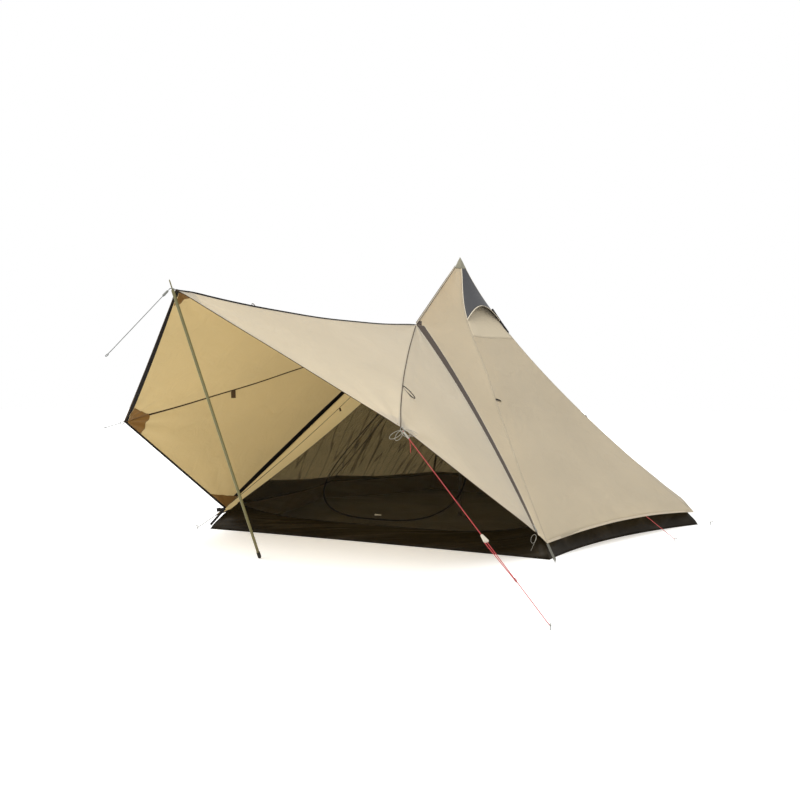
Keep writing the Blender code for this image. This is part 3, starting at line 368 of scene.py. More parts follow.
def with_eye(start, end, size):
    """A straight run that ends in a small eye: a circle of that radius just past the end."""
    start, end = np.asarray(start, float), np.asarray(end, float)
    ahead = unit(end - start)
    side = unit(np.cross(ahead, (0.0, 0.0, 1.0)))
    turn = np.linspace(math.pi * 0.92, -math.pi * 0.72, 24)[:, None]
    return np.concatenate([straight(start, end, 18)[:-1],
                           end + ahead * size + size * (ahead * np.cos(turn) + side * np.sin(turn))])


ADJUSTER_PLACE = 0.60
DOUBLE_START, DOUBLE_LENGTH, DOUBLE_ASIDE = 0.030, 0.255, 0.0125
HITCH_TURNS, HITCH_RADIUS = 3.2, 0.0052
line_run = np.subtract(RIGHT_LINE[1], RIGHT_LINE[0])
line_way = unit(line_run)
line_side = unit(np.cross(line_way, (0.0, 0.0, 1.0)))
line_lift = np.cross(line_way, line_side)
adjuster_spot = RIGHT_LINE[0] + line_run * ADJUSTER_PLACE
# the doubled strand leaves the adjuster's wide end beside the line and joins it again at a hitch
run = np.linspace(0, 1, 26)[:, None]
double_path = (adjuster_spot + line_way * (DOUBLE_START + DOUBLE_LENGTH * run)
               + line_side * (DOUBLE_ASIDE * (1 - run) ** 0.8 + HITCH_RADIUS))
cord("doubled_strand", double_path, [], red_braid, "red_cord", "knot", body="guy_adjuster_right", lay="taut")
turn = np.linspace(0, 2 * math.pi * HITCH_TURNS, 70)[:, None]
hitch_path = (double_path[-1] - line_side * HITCH_RADIUS + line_way * (0.003 + 0.0042 * turn / math.pi)
              + HITCH_RADIUS * (line_side * np.cos(turn) + line_lift * np.sin(turn)))
mesh_piece("line_hitch", [sweep(hitch_path, circle(0.0019, 8), up=line_way)], [red_braid],
           body="guy_adjuster_right")

EYE = 0.010
cord("right_guyline", straight(*RIGHT_LINE, 30), ["guy_cord_right"], red_braid, "red_cord", "object",
     lay="taut", with_pieces=[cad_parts["guy_adjuster_right"]])
cord("front_guyline", with_eye(*FRONT_LINE, EYE), ["guy_cord_front"], grey_braid, "grey_cord", "knot",
     lay="taut", with_pieces=[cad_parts["guy_adjuster_front"]])
cord("left_guyline", with_eye(*LEFT_LINE, EYE), ["guy_cord_left"], grey_braid, "grey_cord", "knot",
     lay="taut")
cord("side_guyline", straight(*SIDE_LINE, 16), ["guy_cord_side"], red_braid, "red_cord", "object", lay="taut")

# The spare cord at the awning's right corner: a few splayed loops of thin pale cord. Its end is whipped
# round the red guyline below the ring, where a short tail of the red cord hangs down.
HANK_CORD = 0.0012
HANK_TOP = np.array([1.19409, -3.11588, 0.94989])
HANK_SIDE = (0.8592, 0.5116, 0.0)
HANK_LEANS, HANK_LENGTHS = (-60, -34, 58, 78), (0.085, 0.066, 0.058, 0.095)


def petals(knot, leans, lengths, half, side, step):
    """Loops that meet at a knot, s being 2 pi for each.

    Along the lean from straight down by length (1 - cos s) / 2, across it by half * sin s, and each
    loop lies a step behind the one before, square to the level direction side.
    """
    count = len(leans)
    s = np.linspace(0, 2 * math.pi * count, 44 * count, endpoint=False)
    number = (s / 2 / math.pi).astype(int)
    lean, length, s = np.radians(leans)[number][:, None], np.asarray(lengths)[number][:, None], s[:, None]
    side, down = np.asarray(side), np.array([0.0, 0.0, -1.0])
    back = np.cross(down, side)
    return (knot + (side * np.sin(lean) + down * np.cos(lean)) * length * (1 - np.cos(s)) / 2
            + (side * np.cos(lean) - down * np.sin(lean)) * half * np.sin(s)
            + back * (step * (s / 2 / math.pi - count / 2) + 0.006 * np.sin(0.6 * s) * np.sin(s / 2) ** 2))


pale_braid = braid("pale_braid", tone(190, 186, 172), tone(124, 120, 108), tone(216, 212, 200))
cord("spare_hank", petals(HANK_TOP, HANK_LEANS, HANK_LENGTHS, 0.0166, HANK_SIDE, 0.0034),
     ["guy_hank_right"], pale_braid, "grey_cord", "knot", radius=HANK_CORD, lay="coiled")
WHIP_TURNS, WHIP_START, WHIP_LENGTH, WHIP_RADIUS = 17, 0.008, 0.062, CORD_RADIUS + 0.0020
turn = np.linspace(0, 2 * math.pi * WHIP_TURNS, 20 * WHIP_TURNS)[:, None]
whip_path = (np.array(RIGHT_LINE[0]) + line_way * (WHIP_START + WHIP_LENGTH * turn / turn[-1])
             + WHIP_RADIUS * (line_side * np.cos(turn) + line_lift * np.sin(turn)))
mesh_piece("line_whipping", [sweep(whip_path, circle(0.0018, 8), up=line_way)], [pale_braid])
tail_top = np.array(RIGHT_LINE[0]) + line_way * (WHIP_START + WHIP_LENGTH) - line_side * 0.004
fall = np.linspace(0, 1, 16)[:, None]
tail_path = tail_top + 0.030 * line_way * fall * (1 - 0.5 * fall) + np.array([0.0, 0.0, -0.075]) * fall ** 1.4
cord("red_tail", tail_path, [], red_braid, "red_cord", "bare", radius=0.0016, lay="hanging")

# The fly: one canopy of coated polyester, seven panels sewn together up the ridges. It hangs from the
# peak, is pegged at six corners, and stands open at the front below the apex, between the door edges.
CORNERS = np.array([(1.60, -1.75), (2.10, 0.60), (1.50, 2.15), (-1.50, 2.15), (-2.10, 0.60), (-1.50, -1.85)])
PEAK = 2.50
APEX = np.array([0.0, -0.85, 1.79])
APEX_ROW = 0.35
HEM_BOW, HEM_LIFT = 0.02, 0.05
FLY_RIDGE = dict(start=(0.022, PEAK - 0.045), pull=0.21, pull_height=1.53, share=0.985, foot=0.11)
FRONT_DRAW, DRAW_END = 0.056, 0.55
STRIP_TOP, STRIP_FOOT = 0.075, 0.034
FLY_THICK = 0.0010
FOLD_WIDE, STITCH_ROWS, STITCH_PITCH, DUST_TOP = 0.011, (0.0035, 0.0095), 0.0040, 0.42
FLY_HOLLOW, SLOW_WAVE = 0.010, 0.0030


def outward(points):
    """Unit directions out of the tent: (x, 0.6 * the larger of y and -1, 1), scaled to length 1."""
    x, y = np.asarray(points, float)[..., 0], np.asarray(points, float)[..., 1]
    return unit(np.stack([x, 0.6 * np.maximum(y, -1.0), np.ones_like(x)], -1))


def lifted(points, height):
    """Points moved out of the tent by a height: one for all, or an array of them."""
    return points + outward(points) * height


def ridge(corner, u, start, pull, pull_height, share, foot):
    """A ridge as a quadratic curve of (radius, height): top ring, pull point, base corner, u from 0 to 1."""
    u = np.asarray(u, float)[..., None]
    reach = np.linalg.norm(CORNERS[corner])
    level = ((1 - u) ** 2 * start[0] + 2 * u * (1 - u) * pull * reach + u ** 2 * share * reach)
    height = (1 - u) ** 2 * start[1] + 2 * u * (1 - u) * pull_height + u ** 2 * foot
    return np.concatenate([level * CORNERS[corner] / reach, height], -1)


def front_corner(hand):
    """The base corner beside the right door, hand 1, or the left door, hand -1."""
    return 0 if hand > 0 else 5


def fly_ridge(corner, u):
    """A ridge of the fly. The awning draws the two front ones together by draw * sin(pi u / end)^2."""
    points = ridge(corner, u, **FLY_RIDGE)
    if corner in (0, 5):
        hand = 1 if corner == 0 else -1
        x, y = unit(CORNERS[corner])
        draw = FRONT_DRAW * np.sin(math.pi * np.minimum(np.asarray(u, float) / DRAW_END, 1)) ** 2
        points = points + draw[..., None] * np.array([hand * y, -hand * x, 0.0])
    return points


def side_inward(first, second):
    """Unit level direction into the tent, square to a base edge."""
    edge = CORNERS[second] - CORNERS[first]
    return np.array([*unit([-edge[1], edge[0]]), 0.0])


def door_edge(hand, t):
    """A door's zipped edge: a quadratic curve from the apex to its foot beside the hem corner."""
    t = np.asarray(t, float)[..., None]
    foot = fly_ridge(front_corner(hand), 1.0) + [-hand * 0.10, 0.02, 0.07]
    middle = (APEX + foot) / 2 + [0.0, 0.11, 0.099]
    return (1 - t) ** 2 * APEX + 2 * t * (1 - t) * middle + t ** 2 * foot


def front_line(hand, u):
    """Inner border of a front panel: straight down the centre seam to the apex, then the door edge."""
    u = np.asarray(u, float)
    top = fly_ridge(0, 0.0) * [0.0, 1.0, 1.0]
    seam = top + (APEX - top) * np.minimum(u / APEX_ROW, 1)[..., None]
    edge = door_edge(hand, np.clip((u - APEX_ROW) / (1 - APEX_ROW), 0, 1))
    return np.where((u <= APEX_ROW)[..., None], seam, edge)


def strip_share(hand, u):
    """Share of a front panel's width under the zip strip: strip width over panel width, below the apex."""
    width = np.linalg.norm(fly_ridge(front_corner(hand), u) - front_line(hand, u), axis=-1)
    depth = (u - APEX_ROW) / (1 - APEX_ROW)
    return np.where(depth >= 0, STRIP_TOP + (STRIP_FOOT - STRIP_TOP) * depth, 0.0) / width


def smooth(x):
    """0 below 0, 1 above 1, and 3 x^2 - 2 x^3 between."""
    x = np.clip(x, 0, 1)
    return x * x * (3 - 2 * x)


def pull_folds(points, corner, toward, count, reach, depth, phase=0.0):
    """Height of the tension folds that fan out of a pegged corner.

    depth * cos(count * angle + phase) * exp(-(r / reach)^2), rising from 0 over the first 12 cm, where
    the angle lies in the cloth and is measured from the line that runs towards the cloth's middle.
    """
    corner, ahead = np.asarray(corner, float), unit(np.subtract(toward, corner))
    side = unit(np.cross(outward(corner), ahead))
    offset = points - corner
    r = np.linalg.norm(offset, axis=-1)
    angle = np.arctan2(offset @ side, offset @ ahead)
    return depth * np.cos(count * angle + phase) * np.exp(-(r / reach) ** 2) * np.minimum(r / 0.12, 1)


def fly_panel(panel, u, v):
    """Bare surface of one panel, straight across between its two seams, with the hem drawn in and up."""
    if panel in (0, 6):
        hand = 1 if panel == 0 else -1
        inner, outer = front_line(hand, u), fly_ridge(front_corner(hand), u)
        return inner + (outer - inner) * (v if hand > 0 else 1 - v)[..., None]
    first, second = fly_ridge(panel - 1, u), fly_ridge(panel, u)
    arch = 4 * v * (1 - v)
    drawn = (arch * HEM_BOW * u ** 2)[..., None] * side_inward(panel - 1, panel)
    bare = first + (second - first) * v[..., None] + drawn
    bare[..., 2] += arch * HEM_LIFT * u ** 3
    return bare


def fly_at(u, c):
    """The fly's surface: u runs from peak to hem, c from 0 to 7 round the panels from the front right.

    Panel surface + outward * (folds out of the six corners and the peak, and a slow wave of two crossed
    sines, less a shallow hollow of sin(pi v) sin(pi u) between the seams), all of it fading out at the
    seams and the zipped edges.
    """
    u, c = np.broadcast_arrays(np.asarray(u, float), np.asarray(c, float))
    points = np.empty((*u.shape, 3))
    calm = np.empty(u.shape)
    hollow = np.empty(u.shape)
    for panel in range(7):
        mine = (c >= panel) & ((c < panel + 1) | (panel == 6))
        v = c[mine] - panel
        points[mine] = fly_panel(panel, u[mine], v)
        inner = strip_share(1 if panel == 0 else -1, u[mine]) if panel in (0, 6) else 0.0
        near = v - inner if panel == 0 else v
        far = 1 - v - inner if panel == 6 else 1 - v
        calm[mine] = smooth(near / 0.12) * smooth(far / 0.12)
        hollow[mine] = np.sin(math.pi * v) * np.sin(math.pi * u[mine])
    relief = np.zeros(u.shape)
    for corner in range(6):
        relief += pull_folds(points, fly_ridge(corner, 1.0), (0, 0, PEAK), 15, 0.62, 0.0055, 1.3 * corner)
    relief += pull_folds(points, (0, 0, PEAK - 0.1), (0.0, -0.9, 1.2), 19, 0.75, 0.0035)
    relief += SLOW_WAVE * np.sin(points @ [7.0, 3.0, 5.0]) * np.sin(points @ [-2.0, 6.5, 3.0])
    relief -= FLY_HOLLOW * hollow
    return lifted(points, (relief * calm)[..., None])


def fly_width(u, c):
    """Width of the panel that c lies in, at height u."""
    panel = min(int(c), 6)
    ends = [fly_panel(panel, np.asarray(u, float), np.full(np.shape(u), v)) for v in (0.0, 1.0)]
    return np.linalg.norm(ends[1] - ends[0], axis=-1)


def cloth(name, colour, glow=0.42, through=(0.95, 0.92, 0.84, 1.0), weave=0.0012, dusty=True, roughness=0.78,
          crease=0.35, sheen=0.15):
    """Coated plain-weave cloth.

    Colour drifts over half a metre and mottles over a few centimetres; the doubled seam allowance is
    painted darker, as shade where two layers let less light through, and carries two rows of stitches;
    dust lifts the colour near the ground; the bump is the weave, sin across times sin along at the thread
    pitch, over soft creases. Some light passes through.
    """
    made, tree, shader = new_material(name)
    across, along = uv_parts(tree)
    deep, light = shade(colour, 0.80), shade(colour, 1.10)
    drift = calc(tree, "MULTIPLY_ADD", noise(tree, 1.6, 2.0), 1.8, -0.4)
    paint = mix_colour(tree, calc(tree, "SMOOTH_MIN", 1.0, drift, 0.1), mix_colour(tree, 0.45, colour, deep),
                       mix_colour(tree, 0.5, colour, light))
    mottle = calc(tree, "MULTIPLY_ADD", noise(tree, 46.0, 4.0, 0.6), 0.5, -0.1)
    paint = mix_colour(tree, mottle, paint, mix_colour(tree, 0.35, colour, deep))
    seam = add_node(tree, "Attribute", attribute_name="seam").outputs["Fac"]
    # painted shade over the doubled seam allowance, where two layers let less light through
    seam_shade = calc(tree, "LESS_THAN", seam, FOLD_WIDE)
    paint = mix_colour(tree, calc(tree, "MULTIPLY", seam_shade, 0.42), paint, deep)
    rows = [calc(tree, "COMPARE", seam, row, 0.0007) for row in STITCH_ROWS]
    dash = calc(tree, "GREATER_THAN", wave(tree, along, STITCH_PITCH), -0.25)
    stitch = calc(tree, "MULTIPLY", calc(tree, "MAXIMUM", *rows), dash)
    paint = mix_colour(tree, calc(tree, "MULTIPLY", stitch, 0.75), paint, shade(colour, 0.45))
    if dusty:
        low = calc(tree, "SUBTRACT", 1.0, calc(tree, "DIVIDE", place_parts(tree)[2], DUST_TOP))
        cover = calc(tree, "MULTIPLY", noise(tree, 7.0, 4.0), 0.55)
        dust = calc(tree, "MULTIPLY", calc(tree, "MAXIMUM", low, 0.0), cover)
        paint = mix_colour(tree, dust, paint, tone(172, 160, 138))
    threads = calc(tree, "MULTIPLY", wave(tree, across, weave), wave(tree, along, weave))
    soft = bump(tree, noise(tree, 5.5, 2.0, 0.45, 1.1), crease, 0.030)
    soft = bump(tree, noise(tree, 30.0, 2.0, 0.5, 0.6), 0.25, 0.004, soft)
    soft = bump(tree, stitch, 0.6, 0.0006, soft)
    feed(tree, shader, Base_Color=paint, Normal=bump(tree, threads, 0.22, 0.00018, soft), Roughness=roughness,
         Specular_IOR_Level=0.30, Sheen_Weight=sheen, Sheen_Roughness=0.45)
    if glow:
        passed = add_node(tree, "BsdfTranslucent")
        both = add_node(tree, "MixShader", Fac=glow)
        feed(tree, passed, Color=mix_colour(tree, 0.75, paint, through), Normal=soft)
        wire(tree, (shader, 0, both, 1), (passed, 0, both, 2),
             (both, 0, tree.nodes["Material Output"], "Surface"))
    return made


def cloth_block(points):
    """A sheet's grid as a block, mapped in metres across and along."""
    return grid_block(points, np.stack([run_length(points), run_length(points.transpose(1, 0, 2)).T], -1))


def crowned_block(points, uv, middle, middle_uv=(0.0, 0.0), outer_first=False):
    """A grid of rings closed by triangles to one middle point, at its first ring, or its last."""
    points, faces, uvs, number = grid_block(points, uv, wrap_columns=True)
    rings, around = points.shape[:2]
    j = np.arange(around)
    k, top = (j + 1) % around, np.full(around, rings * around)
    last = (rings - 1) * around
    fan = np.stack([last + j, top, last + k] if outer_first else [top, j, k], 1)
    points = np.concatenate([points.reshape(-1, 3), np.reshape(middle, (1, 3))])
    return points, faces + [fan], uvs + [np.zeros((around, 3, 2)) + middle_uv], number


def joined(lines):
    """A ring grid's map with its first column added again at its end."""
    return np.concatenate([lines, lines[:, :1]], 1)


def seam_distance(c, panels, width_at, rows):
    """Distance of a grid's points to the nearer seam: the share of the panel across, times its width."""
    part = c - np.floor(np.minimum(c, panels - 0.001))
    widths = np.stack([width_at(rows, panel) for panel in range(panels)], 1)
    return np.minimum(part, 1 - part) * widths[:, np.minimum(c[0].astype(int), panels - 1)]


WARM = (1.0, 0.83, 0.46, 1.0)
fly_out = cloth("fly_outside", tone(208, 195, 170))
# the inside face is painted warmer and brighter than the outside: painted light for the sun glowing through
# the cloth, on top of the light the shader lets through
fly_in = cloth("fly_inside", tone(236, 211, 152), glow=0.68, through=WARM)
fly_cut = cloth("fly_cut_edge", tone(96, 84, 66), glow=0)
PANEL_STEPS = np.concatenate([[0, 0.006, 0.022], np.linspace(0.05, 0.95, 25), [0.978, 0.994]])
fly_rows = np.unique(np.concatenate([np.linspace(0, APEX_ROW, 30), np.linspace(APEX_ROW, 1, 56),
                                     APEX_ROW + np.array([-0.0015, 0.0015, 0.004])]))
fly_columns = np.concatenate([panel + PANEL_STEPS for panel in range(7)] + [[7.0]])
u, c = np.meshgrid(fly_rows, fly_columns, indexing="ij")
# the front panels start a little under the zip strips
start, stop = [0.80 * strip_share(hand, u) * smooth((u - APEX_ROW) / 0.004) for hand in (1, -1)]
c = np.where(c <= 1, start + c * (1 - start), np.where(c >= 6, 6 + (c - 6) * (1 - stop), c))
fly_points = fly_at(u, c)
fly_piece = mesh_piece("fly_canopy", [cloth_block(fly_points)], [fly_out, fly_in, fly_cut],
                       seam=seam_distance(c, 7, fly_width, fly_rows), flat=0, shell=FLY_THICK)
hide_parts("fly_front_right", "fly_right", "fly_back_right", "fly_back", "fly_back_left",
            "fly_left", "fly_front_left")

# The seams of the fly: a felled tape over each ridge, a narrow brown one inside it over the stitches, and
# a piped pleat down the front seam to the apex. The hem is turned up and stitched.
TAPE, WEB, DOUBLED, HEM_THICK = 0.0007, 0.0010, 0.0012, 0.0030
NO_SEAM = 0.02
TAPE_HALF, INNER_TAPE_HALF = 0.0055, 0.0075
PLEAT_HIGH, PLEAT_HALF, PIPING_RADIUS, PIPING_FOOT_RADIUS = 0.018, 0.0012, 0.0022, 0.0015


def band(surface, width_at, rows, centre, half, lift):
    """A strip of cloth lying on a surface: its lines run at equal distances either side of one column.

    The offset half * k, with k from -1 to 1, is divided by the width of the panel on that side.
    """
    k = np.linspace(-1, 1, 5)[None]
    before, after = (np.maximum(width_at(rows, centre + side), 0.03)[:, None] for side in (-1e-6, 0.0))
    place = centre + np.clip(k * half / np.where(k < 0, before, after), -0.45, 0.45)
    return lifted(surface(rows[:, None], place), lift)


def strip_seams(strips):
    """Distance of each point of some strips from its own strip's nearer long edge."""
    across = [run_length(points) for points in strips]
    return np.concatenate([np.minimum(far, far[:, -1:] - far).ravel() for far in across])


def strips_piece(name, strips, materials, seam=None, shell=TAPE, flat=42):
    """One piece of some strips of cloth, stitched along their long edges unless seam says where."""
    return mesh_piece(name, [cloth_block(points) for points in strips], materials, flat=flat,
                      seam=strip_seams(strips) if seam is None else seam, shell=shell)


def swept_piece(name, lines, profile, material, up=None, seam=NO_SEAM):
    """One piece of a profile carried along some lines, with up out of the tent unless it is given."""
    blocks = [sweep(line, profile, up=outward(line) if up is None else up) for line in lines]
    return mesh_piece(name, blocks, [material], seam=seam)


def trim(name, colour, **values):
    """Cloth for trimmings: no dust, and the light doesn't come through."""
    return cloth(name, colour, **{"glow": 0.0, "dusty": False, "crease": 0.1, **values})


tape_out = cloth("seam_tape", tone(204, 190, 164), glow=0.2, crease=0.12)
trim_brown = trim("brown_trim", tone(78, 60, 36), sheen=0.0)
trim_black = trim("black_binding", tone(22, 18, 16), sheen=0.0)
pale_tape = trim("pale_binding", tone(216, 206, 186))
tape_in = trim("inner_tape", tone(58, 40, 20), crease=0.12, sheen=0.0)
rows = np.linspace(0.03, 0.999, 110)
tapes = [band(fly_at, fly_width, rows, corner, TAPE_HALF, 0.0010) for corner in range(1, 7)]
strips_piece("ridge_tapes", tapes, [tape_out], flat=0)
under = -FLY_THICK - 0.0003
tapes = [band(fly_at, fly_width, rows, corner, INNER_TAPE_HALF, under) for corner in range(1, 7)]
strips_piece("ridge_tapes_inside", tapes, [tape_in], seam=0.006, flat=0)
# the pleat is piped in brown along its edge and on both sides of its foot
seam_rows = np.linspace(0.037, APEX_ROW - 0.002, 50)
seam_line = fly_at(seam_rows, np.zeros(50))
pleat_out = outward(seam_line)
pleat = np.array([(-PLEAT_HALF, -0.002), (PLEAT_HALF, -0.002), (0.0010, PLEAT_HIGH), (-0.0010, PLEAT_HIGH)])
swept_piece("centre_seam_pleat", [seam_line], pleat, pale_tape)
edges = [sweep(seam_line + pleat_out * (PLEAT_HIGH + 0.0005), circle(PIPING_RADIUS, 8), up=pleat_out)]
for hand in (1, -1):
    foot = seam_line + np.array([0.0026 * hand, 0, 0]) + pleat_out * 0.0016
    edges.append(sweep(foot, circle(PIPING_FOOT_RADIUS, 8), up=pleat_out))
mesh_piece("centre_seam_piping", edges, [trim_brown], seam=NO_SEAM)
hem = lifted(fly_at(np.linspace(0.9950, 1.0, 4)[:, None], c[-1][None]), 0.0009)
strips_piece("fly_hem", [hem], [tape_out, fly_cut, fly_cut],
             seam=run_length(hem.transpose(1, 0, 2)).T, flat=0, shell=HEM_THICK)

# The peak cap: a doubled hood of greener cloth that sits on the pole's tip and over the upper ends of
# all seven seams, bound at its lower edge.
CAP_FOOT, CAP_STAND, CAP_TIP = 0.0393, 0.0028, np.array([0.0, 0.0, PEAK])
cap_paint = cloth("peak_cap_cloth", tone(138, 134, 116), glow=0.1, dusty=False, crease=0.2)
cap_columns = np.concatenate([panel + np.linspace(0, 1, 9)[:-1] for panel in range(7)])
cap = fly_at(np.linspace(CAP_FOOT, 0.0, 9)[:, None], cap_columns[None])
cap = cap + unit(cap * [1.0, 1.0, 0.0]) * CAP_STAND
share = np.linspace(0, 1, 8)[1:-1, None, None]
cap = np.concatenate([cap, cap[-1] + (CAP_TIP - cap[-1]) * share])
height = run_length(cap.transpose(1, 0, 2)).T
uv = np.stack([run_length(joined(cap)), joined(height)], -1)
cap_piece = mesh_piece("cap_hood", [crowned_block(cap[::-1], uv[::-1], CAP_TIP)], [cap_paint],
                       flat=50, shell=DOUBLED,
                       seam=np.append(np.repeat(height[::-1, :1], cap.shape[1], 1), 0.2))
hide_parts("peak_cap")

# The door strips: dark storm flaps sewn along both door edges over the zips, piped in pale tape, with
# the coil inside. The steel sliders are parked near the hem and run up the strip.
COIL_RADIUS, COIL_PITCH, COIL_DROP = 0.0022, 0.0026, 0.0042
FLAP_THICK, FLAP_PIPING_RADIUS, APEX_PATCH_REACH = 0.0008, 0.0014, 0.052
flap_out = cloth("storm_flap", tone(72, 62, 54), glow=0.0, crease=0.15, roughness=0.7, sheen=0.05)
flap_in = trim("zip_tape", tone(26, 20, 19), crease=0.15, sheen=0.0)
coil, tree, shader = new_material("zip_coil")
teeth = wave(tree, uv_parts(tree)[1], COIL_PITCH)
share = calc(tree, "MULTIPLY_ADD", teeth, 0.5, 0.5)
# painted shade between the teeth: the colour is darker where the teeth's bump is low
feed(tree, shader, Base_Color=mix_colour(tree, share, tone(8, 7, 7), tone(30, 27, 26)),
     Normal=bump(tree, teeth, 0.8, 0.0008), Roughness=0.75, Specular_IOR_Level=0.15)
rows = np.linspace(APEX_ROW + 0.0008, 0.9995, 80)
crown = 0.0007 + 0.0016 * np.sin(math.pi * np.linspace(0, 1, 9))[None, :, None]
for hand, label in ((1, "right"), (-1, "left")):
    inner, outer = front_line(hand, rows), fly_ridge(front_corner(hand), rows)
    share = strip_share(hand, rows)[:, None] * np.linspace(-0.03, 1.02, 9)[None]
    flap = lifted(inner[:, None] + (outer - inner)[:, None] * share[..., None], crown)
    if hand < 0:
        flap = flap[:, ::-1]
    flap_piece = strips_piece("door_flap_" + label, [flap], [flap_out, flap_in, flap_in],
                              shell=FLAP_THICK)
    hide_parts("door_zip_" + label)
    middle = lifted(flap[:, 4], -COIL_DROP)
    swept_piece("door_coil_" + label, [middle], circle(COIL_RADIUS, 10), coil, seam=None)
    swept_piece("door_piping_" + label, (flap[:, 0], flap[:, -1]), circle(FLAP_PIPING_RADIUS, 8), pale_tape)

# a dark patch either side of the seam covers the tops of both zips at the apex
apex_rows = np.linspace(APEX_ROW - 0.019, APEX_ROW - 0.0006, 10)
apex_reach = (APEX_PATCH_REACH / fly_width(apex_rows, 0) * np.linspace(0.55, 1.0, 10))[:, None]
apex_patches = [lifted(fly_at(apex_rows[:, None], place), 0.0032)
                for place in (apex_reach * np.linspace(0.02, 1, 8), 7 - apex_reach * np.linspace(1, 0.02, 8))]
strips_piece("apex_patches", apex_patches, [flap_out], seam=NO_SEAM)

# The awning: the two doors zipped together at the front seam and pitched out as one sheet. It runs from
# the door edges over two side seams to the ridge, and is held by the pole and two guyed corners.
TIP = np.array([-0.098, -3.717, 1.823])
TIP = TIP + unit(APEX - TIP) * 0.030
SIDE_CORNERS = {1: np.array([1.182, -3.111, 0.972]), -1: np.array([-1.20, -3.10, 0.97])}
AWNING_SAG, SEAM_SAG, SEAM_DRAW, SEAM_HEADING = 0.055, 0.035, 0.038, (-0.86, -0.51)
AWNING_HOLLOW = 0.014
# each fan of folds: its corner, the point that it looks at, count, reach, depth, phase
AWNING_FANS = ((TIP, APEX, 13, 0.75, 0.0060, 0.6),
               (SIDE_CORNERS[1], APEX, 13, 0.80, 0.0065, 0.2),
               (SIDE_CORNERS[-1], APEX, 13, 0.80, 0.0065, 1.2),
               (APEX, TIP, 15, 0.55, 0.0040, 0.4),
               (door_edge(1, 1.0), SIDE_CORNERS[1], 12, 0.55, 0.0050, 0.0),
               (door_edge(-1, 1.0), SIDE_CORNERS[-1], 12, 0.55, 0.0050, 0.9))


def awning_lines(t):
    """The five long lines: door edge, side seam, ridge, side seam, door edge, from the left.

    The ridge and the seams are straight lines less sag * 4 t (1 - t), and the seams are also drawn in
    and forward by SEAM_DRAW * 4 t (1 - t).
    """
    t = np.asarray(t, float)
    hang = (4 * t * (1 - t))[..., None]
    lines = [door_edge(-1, t)]
    for hand in (-1, 0, 1):
        end = TIP if hand == 0 else SIDE_CORNERS[hand]
        sag = [0, 0, -AWNING_SAG] if hand == 0 else [hand * SEAM_HEADING[0] * SEAM_DRAW,
                                                     SEAM_HEADING[1] * SEAM_DRAW, -SEAM_SAG]
        lines.append(APEX + (end - APEX) * t[..., None] + hang * sag)
    return np.stack(lines + [door_edge(1, t)])


def awning_at(t, c):
    """The awning's surface: t runs from the apex to the front edge, c from 0 to 4 across from the left.

    Straight between the long lines + outward * (folds out of the apex, the tip, the side corners and
    the door feet, and a slow wave, less a hollow of sin(pi v) sin(pi t)^0.8), fading out at the door
    edges.
    """
    t, c = np.broadcast_arrays(np.asarray(t, float), np.asarray(c, float))
    lines = awning_lines(t)
    panel = np.clip(np.floor(c), 0, 3).astype(int)
    v = c - panel
    index = np.indices(t.shape)
    first, second = lines[(panel, *index)], lines[(panel + 1, *index)]
    points = first + (second - first) * v[..., None]
    relief = sum(pull_folds(points, *fan) for fan in AWNING_FANS)
    relief += SLOW_WAVE * np.sin(points @ [5.0, 2.5, 3.0]) * np.sin(points @ [-2.0, 4.5, 6.0])
    relief -= AWNING_HOLLOW * np.sin(math.pi * v) * np.sin(math.pi * np.clip(t, 0, 1)) ** 0.8
    calm = smooth(c / 0.12) * smooth((4 - c) / 0.12)
    return lifted(points, (relief * calm)[..., None])


def awning_width(t, c):
    """Width of the panel that c lies in, at length t."""
    lines = awning_lines(t)
    panel = int(min(max(c, 0), 3.999))
    return np.linalg.norm(lines[panel + 1] - lines[panel], axis=-1)


AWNING_THICK = 0.0010
awning_out = cloth("awning_outside", tone(216, 207, 188), dusty=False)
# the inside face is painted warmer than the outside: painted light for the sun glowing through the cloth
awning_in = cloth("awning_inside", tone(214, 192, 142), through=WARM, dusty=False)
awning_rows = np.concatenate([[0.0, 0.006], np.linspace(0.015, 0.90, 60), np.linspace(0.904, 1.0, 30)])
steps = np.concatenate([[0, 0.006], np.linspace(0.02, 0.30, 22), np.linspace(0.33, 0.67, 12),
                        np.linspace(0.70, 0.98, 22), [0.994]])
awning_columns = np.concatenate([panel + steps for panel in range(4)] + [[4.0]])
t, c = np.meshgrid(awning_rows, awning_columns, indexing="ij")
awning_points = awning_at(t, c)
awning_piece = mesh_piece("awning_canopy", [cloth_block(awning_points)], [awning_out, awning_in, trim_brown],
                          seam=seam_distance(c, 4, awning_width, awning_rows), flat=0,
                          shell=AWNING_THICK)
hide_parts("awning_top_left", "awning_top_right", "awning_side_left", "awning_side_right")

# The awning's trim: black webbing and piping along its ridge, brown tapes along the side seams, a black
# tape behind the whole front edge, widened between the side seams by painted shade for the hem's shadowed
# underside seen edge on, and doubled patches inside the corners that are pulled, painted brown as shade
# where two layers let less light through.
AWNING_DEEP, FOLD_DEEP, FOLD_THICK, EDGE_SEAM = 2.75, 0.0048, 0.0028, 0.0055
WEB_HALF, SEAM_TAPE_HALF, SEAM_TAPE_INNER_HALF, DOOR_TAPE_WIDE = 0.0045, 0.0032, 0.0078, 0.042
FRONT_TAPE_WIDE, FRONT_SHADE_EXTRA = 0.0170, 0.0130
UNDER = AWNING_THICK + 0.0003
rows = np.linspace(0.012, 0.998, 90)
ridge_web = band(awning_at, awning_width, rows, 2, WEB_HALF, 0.0013)
